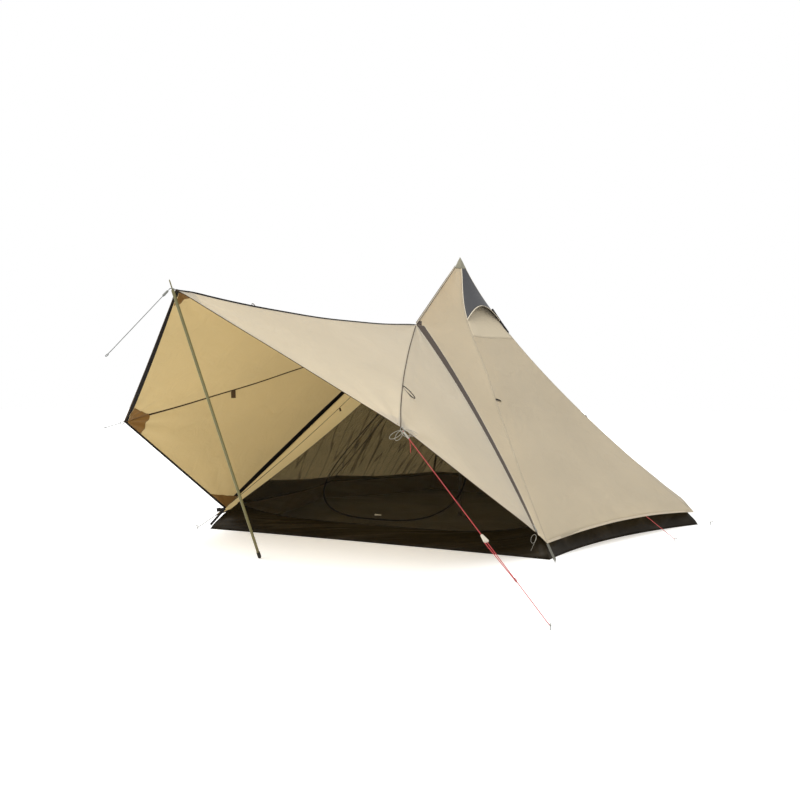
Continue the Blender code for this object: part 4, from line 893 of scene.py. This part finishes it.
# the piping stands out of the ridge by 5 mm near the apex and 9 mm towards the pole
stand = np.linspace(0.004, 0.982, 80)
stand_path = lifted(awning_at(stand, np.full(80, 2.0)), 0.0022)
fin_foot = np.full(80, -0.002)
fin_top = 0.001 + (0.002 + 0.0045 * stand) * smooth((0.985 - stand) / 0.05)
fin = np.stack([np.broadcast_to([-0.0024, 0.0024, 0.0024, -0.0024], (80, 4)),
                np.stack([fin_foot, fin_foot, fin_top, fin_top], 1)], -1)
seam_tapes = [band(awning_at, awning_width, rows, k, SEAM_TAPE_HALF, 0.0012) for k in (1, 3)]
seam_tapes_in = [band(awning_at, awning_width, rows, k, SEAM_TAPE_INNER_HALF, -UNDER) for k in (1, 2, 3)]
# the front tape is wider between the two side seams; the extra width is painted shade, the hem's shadowed
# underside seen edge on
between = smooth((awning_columns - 0.98) / 0.04) * smooth((3.02 - awning_columns) / 0.04)
tape_and_shade_wide = FRONT_TAPE_WIDE + FRONT_SHADE_EXTRA * between
front_tape_and_shade = awning_at(1 - tape_and_shade_wide / AWNING_DEEP * np.linspace(1, 0, 6)[:, None], awning_columns)
front_tape_and_shade = lifted(front_tape_and_shade, -UNDER)
edge_fold = awning_at(1 - FOLD_DEEP / AWNING_DEEP * np.linspace(1, -0.25, 4)[:, None], awning_columns)
strips_piece("ridge_webbing", [ridge_web], [trim_black], shell=WEB)
swept_piece("ridge_piping", [stand_path], fin, trim_black, up=(0, 0, 1.0))
# the zip tapes inside the two door edges
door_tapes = []
for start, inwards, panel in ((0.0, 1, 0), (4.0, -1, 3)):
    reach = np.linspace(0.01, 1, 5) * np.minimum(DOOR_TAPE_WIDE / awning_width(rows, panel), 0.4)[:, None]
    tape = lifted(awning_at(rows[:, None], start + inwards * reach), -(AWNING_THICK + 0.0004))
    door_tapes.append(tape if inwards > 0 else tape[:, ::-1])
strips_piece("door_tapes_inside", door_tapes, [trim_black])
strips_piece("side_seam_tapes", seam_tapes, [trim_brown])
strips_piece("side_seam_tapes_inside", seam_tapes_in, [tape_in])
# black tape, and between the side seams painted shade for the hem's shadowed underside seen edge on
strips_piece("front_edge_tape_and_shade", [front_tape_and_shade], [trim_black], seam=EDGE_SEAM, flat=0,
             shell=DOUBLED)
strips_piece("front_edge_fold", [lifted(edge_fold, 0.0008)], [trim_brown], seam=EDGE_SEAM,
             flat=0, shell=FOLD_THICK)


def corner_patch(corner, away, length, reach):
    """A doubled triangle inside a corner: it tapers from just short of the edge tape to the seam.

    s runs from the seam's point to the edge: t = 1 - length * (1 - s), and c = corner +- reach * s * q.
    """
    short = 0.0118 if {corner, corner + away} <= {1, 2, 3} else 0.0062
    s = np.linspace(0.04, 1 - short / length, 22)[:, None]
    q = np.linspace(0, 1, 17)[None]
    points = awning_at(1 - length * (1 - s), corner + away * np.clip(reach * s * q, 0, 0.999))
    points = lifted(points, -(AWNING_THICK + 0.0012 + 0.0045 * q * s)[..., None])
    return points if away > 0 else points[:, ::-1]


patches = [corner_patch(corner, away, 0.075, 0.14) for corner, away in ((1, 1), (1, -1), (3, 1), (3, -1))]
patches += [corner_patch(corner, away, 0.056, 0.13) for corner, away in ((2, 1), (2, -1))]
patches += [corner_patch(0, 1, 0.060, 0.20), corner_patch(4, -1, 0.060, 0.20)]
# the patches' brown is painted shade: doubled cloth lets less light through
patch_shade_paint = cloth("corner_patch", tone(142, 103, 48), glow=0.15, through=WARM, dusty=False, crease=0.15)
strips_piece("corner_patches", patches, [patch_shade_paint], flat=0)
tip_rows = np.linspace(0.964, 0.999, 12)
tip_webs = [band(awning_at, awning_width, tip_rows, 2, 0.014, lift) for lift in (0.0030, -0.0062)]
strips_piece("tip_webbing", tip_webs, [trim_black], shell=WEB)

# The small tabs, loops and rings sewn into the seams to tie things back: brown tape inside the awning, a
# black loop on its side seam, a ring in brown trim on its ridge, and dark tape on the fly's ridges.
TAB_FACE = (0.5, -0.86, 0.0)


def tab_block(path, half, up=TAB_FACE):
    """A flat tape of 1.4 mm along a path: half its width either side, the up direction square to it."""
    return sweep(path, oblong(-half, half, -0.0007, 0.0007), up=up)


def loop_path(start, end, wide, side):
    """A closed narrow loop from start to end: along by (1 - cos s) / 2, aside by wide * sin s."""
    s = np.linspace(0, 2 * math.pi, 40, endpoint=False)[:, None]
    return start + (end - start) * (1 - np.cos(s)) / 2 + side * wide * np.sin(s)


down = np.linspace(0, 1, 12)[:, None]
seam_tab = lifted(awning_at(0.672, 1.0), -0.002) + np.array([0.006, -0.004, -0.062]) * down
fly_tab = fly_ridge(5, 0.6455) + np.array([0.012, -0.006, -0.030]) * down + [0.004, 0, -0.004]
loop_start, loop_end = lifted(awning_at(0.6505, 3.0), 0.004), lifted(awning_at(0.700, 3.115), 0.020)
loop_side = unit(np.cross(loop_end - loop_start, (-0.51, 0.86, 0.0)))
seam_loop = loop_path(loop_start, loop_end, 0.0095, loop_side)
# the ring stands on edge in the awning's ridge
turn = np.linspace(0, 2 * math.pi, 28, endpoint=False)[:, None]
ring_spot = awning_at(0.747, 2.0)
ring_way = unit(awning_at(0.76, 2.0) - awning_at(0.735, 2.0))
ring_path = ring_spot + 0.013 * (ring_way * np.cos(turn) + outward(ring_spot) * (0.8 + np.sin(turn)))
tie_tabs = [tab_block(seam_tab, 0.0180),
            sweep(seam_loop, circle(0.0030, 8), up=(0.51, -0.86, 0.0), number=1, closed=True),
            sweep(ring_path, circle(0.0026, 8), up=(0.0, 0.6, 0.8), closed=True), tab_block(fly_tab, 0.008)]
mesh_piece("tie_back_tabs", tie_tabs, [trim_brown, trim_black], seam=NO_SEAM)
ridge_tabs = []
arch = 0.003 + 0.004 * np.sin(math.pi * np.linspace(0, 1, 10))[:, None]
for corner, u in ((0, 0.615), (1, 0.6765)):
    spot, beside = fly_at(u, corner + 1 - 1e-6), fly_at(u + 0.006, corner + 1.06)
    ridge_tabs.append(tab_block(lifted(straight(spot, beside, 10), arch), 0.010, outward(spot)))
mesh_piece("ridge_tabs", ridge_tabs, [trim_black], seam=NO_SEAM)

# At the door's feet the awning is held down by black webbing with a side buckle on the left. On the right a
# thin pale cord is tied round in one loop, and its end hangs.
FOOT_HALF = 0.010
left_foot, right_foot = door_edge(-1, 1.0), door_edge(1, 1.0)
foot_strap = straight(left_foot, [*CORNERS[5], 0.035], 20)
buckle_tab = left_foot + np.array([-0.034, -0.017, -0.008]) * np.linspace(0, 1, 8)[:, None]
buckle = buckle_tab[-1] + np.array([-0.030, -0.015, -0.006]) * np.linspace(0, 1, 4)[:, None]
foot_blocks = [tab_block(foot_strap, FOOT_HALF), tab_block(buckle_tab, FOOT_HALF),
               sweep(buckle, oblong(-0.016, 0.016, -0.005, 0.005), up=TAB_FACE)]
mesh_piece("door_foot_webbing", foot_blocks, [trim_black], seam=NO_SEAM)
bow_knot = right_foot + np.array([0.006, -0.030, -0.012])
# the loop is aside by 0.018 sin s and down by 0.062 (1 - cos s) / 2, and the end swings aside by
# 0.016 sin(pi r) and falls by 0.118 r^2, both leaning to the left
s, r = np.linspace(0, 2 * math.pi, 60)[:, None], np.linspace(0, 1, 30)[1:, None]
bow_aside, bow_back = np.array(HANK_SIDE), np.array([HANK_SIDE[1], -HANK_SIDE[0], 0.0])
bow_fall = np.array([0.0, 0.0, -1.0]) - 0.22 * bow_aside
bow_loop = (bow_aside * 0.018 * np.sin(s) + bow_fall * 0.062 * (1 - np.cos(s)) / 2
            + bow_back * 0.0030 * np.cos(s / 2))
bow_end = bow_aside * 0.016 * np.sin(math.pi * r) + bow_fall * 0.118 * r ** 2 - bow_back * 0.0030
cord("door_foot_bow", bow_knot + np.concatenate([bow_loop, bow_end]), [], pale_braid, "grey_cord", "bare",
     radius=0.0013, lay="hanging")

# The vent: a stiffened hood of dark grey cloth sewn over a mesh window high in the right panel. Its mouth
# is bound in pale tape and propped open by a strut, and the panel is doubled just below it.
VENT_TOP, VENT_FOOT, VENT_ARCH, VENT_BULGE, VENT_CLEAR = 0.041, 0.30, 0.030, 0.085, 0.0030


def hood_at(u, v, extra=0.0):
    """The hood: the right panel lifted by bulge * u^1.6 * sin(pi v)^0.7, its mouth cut back in an arch."""
    u, v = np.broadcast_arrays(np.asarray(u, float), np.asarray(v, float))
    place = VENT_TOP + (VENT_FOOT - VENT_ARCH * np.sin(math.pi * v) - VENT_TOP) * u
    bulge = VENT_BULGE * u ** 1.6 * np.sin(math.pi * v) ** 0.7
    return lifted(fly_panel(1, place, 0.02 + 0.96 * v), (VENT_CLEAR + extra + bulge)[..., None])


hood_paint = trim("hood_cloth", tone(66, 66, 68), crease=0.25, roughness=0.66, sheen=0.05)
hood_under = trim("hood_lining", tone(40, 38, 38), crease=0.35, sheen=0.0)
hood = hood_at(np.linspace(0, 1, 26)[:, None], np.linspace(0, 1, 33)[None])
hood_piece = strips_piece("vent_cowl", [hood], [hood_paint, hood_under, hood_under],
                          shell=DOUBLED)
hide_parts("vent_hood")
mouth = hood_at(1.0, np.linspace(0, 1, 60), 0.0002)
lip = np.array([(-0.0032, -0.0022), (0.0032, -0.0022), (0.0040, 0.0), (0.0032, 0.0018), (-0.0032, 0.0018),
                (-0.0040, 0.0)])
swept_piece("vent_lip", [mouth], lip, pale_tape)
side_lines = [hood_at(np.linspace(0, 1, 30), np.full(30, v), 0.0002) for v in (0.0, 1.0)]
swept_piece("vent_side_piping", side_lines, lip * 0.62, pale_tape)
window = fly_at(np.linspace(0.075, 0.205, 16)[:, None], 1 + np.linspace(0.14, 0.86, 17)[None])
mesh_black = trim("vent_mesh", tone(22, 21, 20), crease=0.2, weave=0.0020, sheen=0.0)
strips_piece("vent_window", [lifted(window, 0.0014)], [mesh_black])
double = fly_at(np.linspace(0.207, 0.372, 16)[:, None], 1 + np.linspace(0.02, 0.98, 21)[None])
double_paint = cloth("doubled_cloth", tone(206, 193, 167), glow=0.25, dusty=False)
strips_piece("vent_patch", [lifted(double, 0.0005)], [double_paint], seam=NO_SEAM, flat=0,
             shell=0.0003)
closing_strap = fly_at(np.linspace(0.252, 0.345, 14), np.linspace(1.93, 1.985, 14))
closing_strap = lifted(closing_strap, np.linspace(0.034, 0.003, 14)[:, None])
mesh_piece("vent_strap", [tab_block(closing_strap, 0.009)], [trim_black], seam=NO_SEAM)

# The inner tent: walls of fine dark mesh hung inside the fly, gathered a little and creased from the bag,
# with black tapes on the seams. Its front wall has a D door, closed by a zip with a white slider.
INNER_RIDGE = dict(start=(0.030, PEAK - 0.28), pull=0.19, pull_height=1.38, share=0.900075, foot=0.215)
INNER_BOW = 0.10
SILL_DIP = 0.10
DOOR_CENTRE = np.array([0.7425, 0.5])
DOOR_HALF = np.array([0.2425, 0.31])
NET_PITCH, NET_TAPE_HALF, SKIRT_TOP, SKIRT_RISE = 0.0015, 0.009, 0.988, 0.073


def inner_ridge(corner, u):
    """A ridge of the inner tent. Its corners count round past 5 to 0 again."""
    return ridge(corner % 6, u, **INNER_RIDGE)


def sill_arch(v):
    """How far the front edge dips across its width, from 0 to 1: 1 - (2 v - 1)^4."""
    return 1 - (2 * v - 1) ** 4


def inner_at(u, c):
    """The mesh walls: c runs from 0 to 6 round from the front right ridge, the front wall being 5 to 6.

    Straight across between two ridges, drawn in at the foot by bow * 4 v (1 - v) u^2, + crossed folds
    of sin(2 pi (6 v + 1.3 u + 0.4 sin 5 u)) and two finer sets, faded at the edges by sin(pi v)
    sin(pi u) to the power 0.6. The front wall's foot also dips by sill_arch(v) * u^4.
    """
    u, c = np.broadcast_arrays(np.asarray(u, float), np.asarray(c, float))
    points = np.empty((*u.shape, 3))
    for panel in range(6):
        mine = (c >= panel) & ((c < panel + 1) | (panel == 5))
        v, height = c[mine] - panel, u[mine]
        first, second = inner_ridge(panel, height), inner_ridge(panel + 1, height)
        square = side_inward(panel, (panel + 1) % 6)
        bow = HEM_BOW if panel == 5 else INNER_BOW
        fade = np.sin(math.pi * v) ** 0.6 * np.sin(math.pi * np.clip(height, 0, 1)) ** 0.6
        if panel == 5:
            fade = fade * 0.35
        waves = (0.0075 * np.sin(2 * math.pi * (6 * v + 1.3 * height + 0.4 * np.sin(5 * height)))
                 + 0.0045 * np.sin(2 * math.pi * (13 * v - 4.1 * height + 0.3))
                 + 0.0022 * np.sin(2 * math.pi * (23 * v + 7 * height)))
        points[mine] = (first + (second - first) * v[..., None]
                        + (bow * 4 * v * (1 - v) * height ** 2 + waves * fade)[..., None] * square)
        if panel == 5:
            points[mine, 2] -= SILL_DIP * sill_arch(v) * height ** 4
    return points


def net(name, colour, cover, crease=0.6, creased=1.0):
    """Fine see-through mesh: a cloth whose cover is a share of 1, thicker where folds and threads bunch.

    The creases from the bag are thin slanted lines where a noise drawn out along the slant crosses one
    half, the larger of 1 - 34 * |noise - 0.5| and 0. There the mesh is thicker, and painted darker as shade
    in the fold.
    """
    made, tree, shader = new_material(name)
    across, along = uv_parts(tree)
    threads = calc(tree, "MAXIMUM", wave(tree, across, NET_PITCH), wave(tree, along, NET_PITCH))
    streak = noise(tree, 6.0, 5.0, 0.6, 1.5)
    x, y, z = place_parts(tree)
    level = calc(tree, "MULTIPLY_ADD", x, 1.7, y)
    slant = add_node(tree, "CombineXYZ")
    for axis, wide, steep in (("X", 6.6, -7.0), ("Y", 0.25, 0.80)):
        turned = calc(tree, "MULTIPLY_ADD", z, steep, calc(tree, "MULTIPLY", level, wide))
        tree.links.new(turned, slant.inputs[axis])
    wander = noise(tree, 1.0, 1.0, place=slant.outputs[0])
    gap = calc(tree, "ABSOLUTE", calc(tree, "SUBTRACT", wander, 0.5))
    line = calc(tree, "MAXIMUM", calc(tree, "SUBTRACT", 1.0, calc(tree, "MULTIPLY", gap, 34.0)), 0.0)
    paint = mix_colour(tree, streak, colour, shade(colour, 1.9))
    # painted shade in the crease lines
    paint = mix_colour(tree, calc(tree, "MULTIPLY", line, 0.6 * creased), paint, shade(colour, 0.35))
    seam = add_node(tree, "Attribute", attribute_name="seam").outputs["Fac"]
    thick = calc(tree, "MULTIPLY_ADD", calc(tree, "LESS_THAN", seam, 0.006), 0.5, cover - 0.10)
    thick = calc(tree, "MULTIPLY_ADD", line, 0.22 * creased, thick)
    thick = calc(tree, "ADD", thick, calc(tree, "MULTIPLY", streak, 0.16))
    thick = calc(tree, "ADD", thick, calc(tree, "MULTIPLY", threads, 0.05))
    feed(tree, shader, Base_Color=paint, Alpha=calc(tree, "MINIMUM", thick, 1.0),
         Normal=bump(tree, threads, 0.3, 0.0002, bump(tree, streak, crease, 0.02)),
         Roughness=0.85, Specular_IOR_Level=0.2)
    return made


WALL_STEPS = 72
wall_net = net("wall_net", tone(50, 43, 28), 0.68)
front_net = net("front_net", tone(58, 54, 46), 0.34, 0.3, 0.0)
wall_columns = np.concatenate([side + np.linspace(0, 1, WALL_STEPS + 1)[:-1] for side in range(5)] + [[5.0]])
u, c = np.meshgrid(np.linspace(0, 1, 70), wall_columns, indexing="ij")
walls = inner_at(u, c)
part = c - np.floor(np.minimum(c, 4.999))
wall_seam = np.minimum(part, 1 - part) * np.linalg.norm(walls[:, [WALL_STEPS]] - walls[:, [0]], axis=-1)
wall_piece = mesh_piece("mesh_walls", [cloth_block(walls)], [wall_net], seam=wall_seam,
                        flat=0)
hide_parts("inner_wall_right", "inner_wall_back_right", "inner_wall_back",
            "inner_wall_back_left", "inner_wall_left")


def front_at(spread):
    """The front wall's points at pairs of (u, v)."""
    return inner_at(spread[..., 0], 5 + spread[..., 1])


def door_outline(away):
    """The D door's edge on a ray from its centre: reach = (|du / a|^2.8 + |dv / b|^2.8)^(-1 / 2.8)."""
    reach = (np.abs(away / DOOR_HALF) ** 2.8).sum(-1, keepdims=True) ** (-1 / 2.8)
    return DOOR_CENTRE + away * reach


NET_SIZE = np.array([2.6, 2.3])
# the wall's edge as pairs of (u, v), round from its top: down, along the sill, up and back
to_foot = np.linspace(0, 1, 60)
ways = np.concatenate([np.stack([to_foot, np.zeros(60)], 1), np.stack([np.ones(58), to_foot[1:-1]], 1),
                       np.stack([to_foot[::-1], np.ones(60)], 1),
                       np.stack([np.zeros(6), np.linspace(1, 0, 8)[1:-1]], 1)])
outline = door_outline(ways - DOOR_CENTRE)
spread = outline + (ways - outline) * np.linspace(1, 0, 22)[:, None, None]
front_wall = front_at(spread)
front_block = grid_block(front_wall, joined(spread)[..., ::-1] * NET_SIZE, wrap_columns=True)
front_piece = mesh_piece("mesh_front", [front_block], [front_net], flat=0,
                         seam=np.linalg.norm(front_wall - front_wall[-1:], axis=-1))
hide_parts("inner_front")
spread = DOOR_CENTRE + (outline - DOOR_CENTRE) * np.linspace(0.997, 0.03, 24)[:, None, None]
door = front_at(spread)
door_block = crowned_block(door, joined(spread)[..., ::-1] * NET_SIZE, front_at(DOOR_CENTRE[None]),
                           DOOR_CENTRE[::-1] * NET_SIZE, outer_first=True)
door_piece = mesh_piece("mesh_door", [door_block], [front_net], body="inner_door", flat=0,
                        seam=np.append(np.linalg.norm(door - door[:1], axis=-1), 0.3))
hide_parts("inner_door")

net_tape = trim("net_tape", tone(14, 12, 11), roughness=0.9, sheen=0.0)
ridge_lines = [inner_ridge(corner, np.linspace(0.01, 1, 60)) for corner in range(6)]
net_profile = oblong(-NET_TAPE_HALF, NET_TAPE_HALF, -0.0008, 0.0010)
swept_piece("net_seam_tapes", ridge_lines, net_profile, net_tape)
# an opaque dark band over the foot of the mesh walls, highest at the front left corner
skirt_columns = np.linspace(0, 5, 200)
skirt_top = SKIRT_TOP - SKIRT_RISE * np.clip((skirt_columns - 3.6) / 1.4, 0, 1) ** 1.3
skirt = inner_at(1 - (1 - skirt_top[None]) * np.linspace(1, 0, 8)[:, None], skirt_columns[None])
skirt_paint = trim("wall_skirt", tone(66, 56, 38), crease=0.3, sheen=0.0)
strips_piece("wall_skirt", [lifted(skirt, -0.0020)], [skirt_paint], seam=NO_SEAM, flat=0,
             shell=0.0006)
# the zip follows the door's free side, from the hinge side's foot along the bottom and up the far side
free = ~((ways[:, 1] < 0.02) & (ways[:, 0] > 0.28) & (ways[:, 0] < 0.97))
order = np.roll(np.arange(len(ways)), -int(np.flatnonzero(~free)[-1]) - 1)[: int(free.sum())]
zip_line = front_at(outline[order]) + side_inward(5, 0) * -0.0015
zip_profile = np.array([(-0.007, -0.0006), (0.007, -0.0006), (0.007, 0.0006), (0.0025, 0.0010),
                        (0.0018, 0.0026), (-0.0018, 0.0026), (-0.0025, 0.0010), (-0.007, 0.0006)])
front_out = -side_inward(5, 0) + [0, 0, 0.9]
swept_piece("net_door_zip", [zip_line], zip_profile, coil, up=front_out, seam=None)
swept_piece("net_door_hem", [front_at(outline[~free])], zip_profile * [0.6, 0.8], net_tape,
            up=front_out)

# The bathtub floor: dark coated cloth with a dull sheen, creased where it turns up round the edge, and a
# matt, slightly slack groundsheet lying on the ground.
BATHTUB_FOOT, BATHTUB_TOP = 0.0012, 0.2125
TUB_THICK, FLOOR_THICK, FLOOR_LIFT, FLOOR_SLACK = 0.0008, 0.0010, 0.0016, 0.0115
# waves crumple the tub's wall in and out, each size * sin(turns * around + climb * s + phase)
CRUMPLES = ((0.0045, 7, 5, 0), (0.0030, 17, -9, 1), (0.0016, 41, 15, 0))
SIDE_STEPS = 46


def plan_round(share, bow, front_bow):
    """Level outline round the six base corners: each side drawn in by bow * 4 v (1 - v)."""
    v = np.linspace(0, 1, SIDE_STEPS, endpoint=False)[:, None]
    sides = []
    for first in range(6):
        second = (first + 1) % 6
        a, b = CORNERS[first] * share, CORNERS[second] * share
        draw = front_bow if first == 5 else bow
        sides.append(a + (b - a) * v + side_inward(first, second)[:2] * draw * 4 * v * (1 - v))
    return np.concatenate(sides)


def coated(name, colour, fold_highlight, roughness, crease, scale, gloss):
    """Coated floor cloth, creased by a noise drawn out across it, smoother on the high folds, with painted
    highlight.

    Scuffs and dust are the top of a finer noise, and the thread bump is sin across times sin along.
    """
    made, tree, shader = new_material(name)
    across, along = uv_parts(tree)
    spread = add_node(tree, "CombineXYZ")
    tree.links.new(calc(tree, "MULTIPLY", across, scale), spread.inputs["X"])
    tree.links.new(calc(tree, "MULTIPLY", along, scale * 1.3), spread.inputs["Y"])
    folds = noise(tree, 1.0, 2.0, 0.45, 0.6, place=spread.outputs[0])
    scuff = calc(tree, "MULTIPLY", calc(tree, "GREATER_THAN", noise(tree, 60.0, 4.0, 0.7), 0.66), 0.25)
    # painted highlight on the high folds
    paint = mix_colour(tree, calc(tree, "MINIMUM", above(tree, folds, 0.48, 3.2), 1.0), colour, fold_highlight)
    threads = calc(tree, "MULTIPLY", wave(tree, across, 0.0014), wave(tree, along, 0.0014))
    feed(tree, shader, Base_Color=mix_colour(tree, scuff, paint, tone(84, 78, 70)),
         Normal=bump(tree, threads, 0.12, 0.0002, bump(tree, folds, crease, 0.045)),
         Roughness=calc(tree, "MULTIPLY_ADD", folds, -0.25, roughness + 0.12), Specular_IOR_Level=gloss)
    return made


def hump(angle, power):
    """Half of 1 + sin of an angle, to a power."""
    return (0.5 + 0.5 * np.sin(angle)) ** power


tub_paint = coated("tub_cloth", tone(30, 24, 13), tone(56, 49, 38), 0.50, 0.45, 3.2, 0.10)
tub_inside = coated("tub_lining", tone(108, 90, 62), tone(120, 104, 76), 0.70, 0.4, 3.2, 0.2)
floor_paint = coated("groundsheet", tone(78, 70, 54), tone(94, 85, 68), 0.66, 0.4, 1.6, 0.3)
foot = plan_round(1.0, 0.15, 0.03)
head = plan_round(INNER_RIDGE["share"], INNER_BOW, HEM_BOW)
s = np.linspace(0, 1, 18)[:, None]
around = np.arange(len(foot)) / SIDE_STEPS * 2 * math.pi
crumple = sum(size * np.sin(turns * around + climb * s + phase) for size, turns, climb, phase in CRUMPLES)
plan = foot[None] + (head - foot)[None] * s[..., None]
plan = plan + unit(plan) * (crumple * np.sin(math.pi * s) ** 0.7)[..., None]
height = BATHTUB_FOOT + (BATHTUB_TOP - BATHTUB_FOOT) * s ** 0.8 + 0.004 * np.sin(5 * around + 2) * s * (1 - s)
height[:, -SIDE_STEPS:] -= SILL_DIP * s * sill_arch(np.linspace(0, 1, SIDE_STEPS, endpoint=False))
tub = np.concatenate([plan, height[..., None]], -1)[::-1]
tub_map = np.stack([run_length(joined(tub)), joined(run_length(tub.transpose(1, 0, 2)).T)], -1)
tub_piece = mesh_piece("tub_wall", [grid_block(tub, tub_map, wrap_columns=True)],
                       [tub_paint, tub_inside, tub_inside], flat=0, shell=TUB_THICK)
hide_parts("bathtub_wall")
top_tape = sweep(tub[0] + [0, 0, -0.003], oblong(-0.0012, 0.0020, -0.007, 0.006), up=(0, 0, 1.0),
                 closed=True)
mesh_piece("tub_top_tape", [top_tape], [net_tape], seam=NO_SEAM)
# the groundsheet is rings of the base's outline, and its slack lifts it between the middle and the rim
rim = plan_round(1.002, 0.15, 0.03)
rho = np.concatenate([[0.02], np.linspace(0.06, 1, 60)])[:, None]
ground_plan = rim[None] * rho[..., None]
x, y = ground_plan[..., 0], ground_plan[..., 1]
slack = hump(3.1 * x + 1.2 * np.sin(2.3 * y), 5) * hump(2.2 * y - 1.1 * x, 2)
slack += 0.7 * hump(4.2 * y + 1.7 * np.sin(1.9 * x) + 1, 7)
lift = FLOOR_LIFT + FLOOR_SLACK * slack * smooth((rho - 0.12) / 0.15) * smooth((0.97 - rho) / 0.12)
sheet_points = np.concatenate([ground_plan, lift[..., None]], -1)
floor_block = crowned_block(sheet_points, joined(ground_plan), (0.0, 0.0, FLOOR_LIFT))
floor_piece = mesh_piece("groundsheet", [floor_block], [floor_paint], flat=0,
                         shell=FLOOR_THICK)
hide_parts("inner_floor")

# The poles: steel tube in sections that push together, painted olive, with the paint chipped and the foot
# muddied. The inner tent's pole is given a near-black colour as painted shade, since it stands in the
# shaded inside of the tent, and both stand in rubber feet.


def dress(material, *nodes):
    """Give CAD nodes this material in every slot."""
    for node in nodes:
        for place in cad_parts[node].material_slots:
            place.material = material


def painted_steel(name, colour, chips=0.70):
    """Satin paint on steel: drifting colour and orange peel, with bright chips where a fine noise peaks.

    Mud thins out upwards from the ground, by the larger of 1 - 6 z and 0 times a noise.
    """
    made, tree, shader = new_material(name)
    chip = calc(tree, "GREATER_THAN", noise(tree, 210.0, 3.0, 0.6), chips)
    paint = mix_colour(tree, noise(tree, 11.0, 4.0, 0.6), colour, shade(colour, 0.72))
    low = calc(tree, "SUBTRACT", 1.0, calc(tree, "MULTIPLY", place_parts(tree)[2], 6.0))
    mud = calc(tree, "MULTIPLY", calc(tree, "MAXIMUM", low, 0.0), noise(tree, 60.0, 4.0, 0.7))
    paint = mix_colour(tree, mud, paint, tone(112, 98, 76))
    peel = bump(tree, noise(tree, 420.0, 2.0), 0.15, 0.0003)
    feed(tree, shader, Base_Color=mix_colour(tree, chip, paint, tone(170, 170, 164)), Metallic=chip,
         Roughness=calc(tree, "MULTIPLY_ADD", noise(tree, 40.0, 3.0), 0.25, 0.30),
         Normal=bump(tree, chip, -0.5, 0.0004, peel))
    return made


def rubber(name, colour):
    """Matt rubber: a fine grain, and dust in the hollows of a coarser noise."""
    made, tree, shader = new_material(name)
    dust = above(tree, noise(tree, 90.0, 5.0, 0.7), 0.45, 1.8)
    feed(tree, shader, Base_Color=mix_colour(tree, dust, colour, tone(104, 94, 80)),
         Normal=bump(tree, noise(tree, 700.0, 2.0), 0.35, 0.0003), Roughness=0.82, Specular_IOR_Level=0.3)
    return made


sections = ("lower", "middle", "upper")
dress(painted_steel("olive_paint", tone(122, 116, 74)), *["awning_pole_" + section for section in sections])
# the centre pole's near-black colour is painted shade: it stands in the dark inside the tent
dress(painted_steel("centre_pole_shade_paint", tone(44, 40, 30), 0.74),
      *["centre_pole_" + section for section in sections])
dress(rubber("foot_rubber", tone(40, 40, 34)), "awning_pole_foot", "centre_pole_foot")

# The pegs, rings and zip sliders: bent or pressed steel wire and plate, dulled and lightly scratched. The
# straps that hold the hem's corners to the pegs are woven grey webbing.


def worn_steel(name, colour, roughness):
    """Bare steel: fine scratches in the bump, duller blotches in roughness, darker in the blotches."""
    made, tree, shader = new_material(name)
    blotch = noise(tree, 75.0, 5.0, 0.65)
    paint = mix_colour(tree, calc(tree, "MULTIPLY", blotch, 0.8), colour, shade(colour, 0.45))
    feed(tree, shader, Base_Color=paint, Metallic=1.0,
         Roughness=calc(tree, "MULTIPLY_ADD", blotch, 0.35, roughness),
         Normal=bump(tree, noise(tree, 900.0, 2.0, 0.6, 2.0), 0.25, 0.0002))
    return made


def webbing(name, colour):
    """Woven webbing: crossed ribs, sin(k (x + 0.8 y)) times sin(k z), painted shade in the hollows, and
    soiled.
    """
    made, tree, shader = new_material(name)
    x, y, z = place_parts(tree)
    level = calc(tree, "ADD", x, calc(tree, "MULTIPLY", y, 0.8))
    rib = calc(tree, "MULTIPLY", wave(tree, level, 0.0036), wave(tree, z, 0.0042))
    # painted shade in the hollows of the weave
    paint = mix_colour(tree, calc(tree, "MULTIPLY_ADD", rib, 0.5, 0.5), shade(colour, 0.38), colour)
    soil = calc(tree, "MULTIPLY", noise(tree, 45.0, 4.0, 0.6), 0.5)
    feed(tree, shader, Base_Color=mix_colour(tree, soil, paint, tone(110, 102, 88)),
         Normal=bump(tree, rib, 0.8, 0.0008), Roughness=0.85)
    return made


corners = ("front_right", "front_left", "right", "left", "back_right", "back_left")
dress(worn_steel("peg_steel", tone(168, 168, 162), 0.30), *["corner_peg_" + corner for corner in corners],
      "guy_peg_right", "guy_peg_side", "awning_ring_front", "awning_ring_left", "awning_ring_right",
      "zip_slider_right", "zip_slider_left")
dress(webbing("strap_webbing", tone(112, 114, 104)), *["corner_strap_" + corner for corner in corners])

# The plastic fittings: the guyline adjusters, the white slider on the mesh door, and the rod that props the
# vent, all moulded, with a fine grain and a little grime.


def moulded(name, colour):
    """Moulded plastic: a fine sparked grain, faint yellowing by noise, and grime where a finer one peaks."""
    made, tree, shader = new_material(name)
    aged = (*np.multiply(colour[:3], (0.94, 0.90, 0.78)), 1.0)
    paint = mix_colour(tree, noise(tree, 22.0, 4.0, 0.6), colour, aged)
    grime = above(tree, noise(tree, 160.0, 5.0, 0.7), 0.52, 2.2)
    feed(tree, shader, Base_Color=mix_colour(tree, grime, paint, tone(98, 92, 82)),
         Normal=bump(tree, noise(tree, 1100.0, 2.0), 0.2, 0.0002), Roughness=0.5)
    return made


dress(moulded("white_plastic", tone(196, 190, 178)), "guy_adjuster_right", "inner_door_slider")
dress(moulded("grey_plastic", tone(120, 122, 120)), "guy_adjuster_front", "vent_strut")
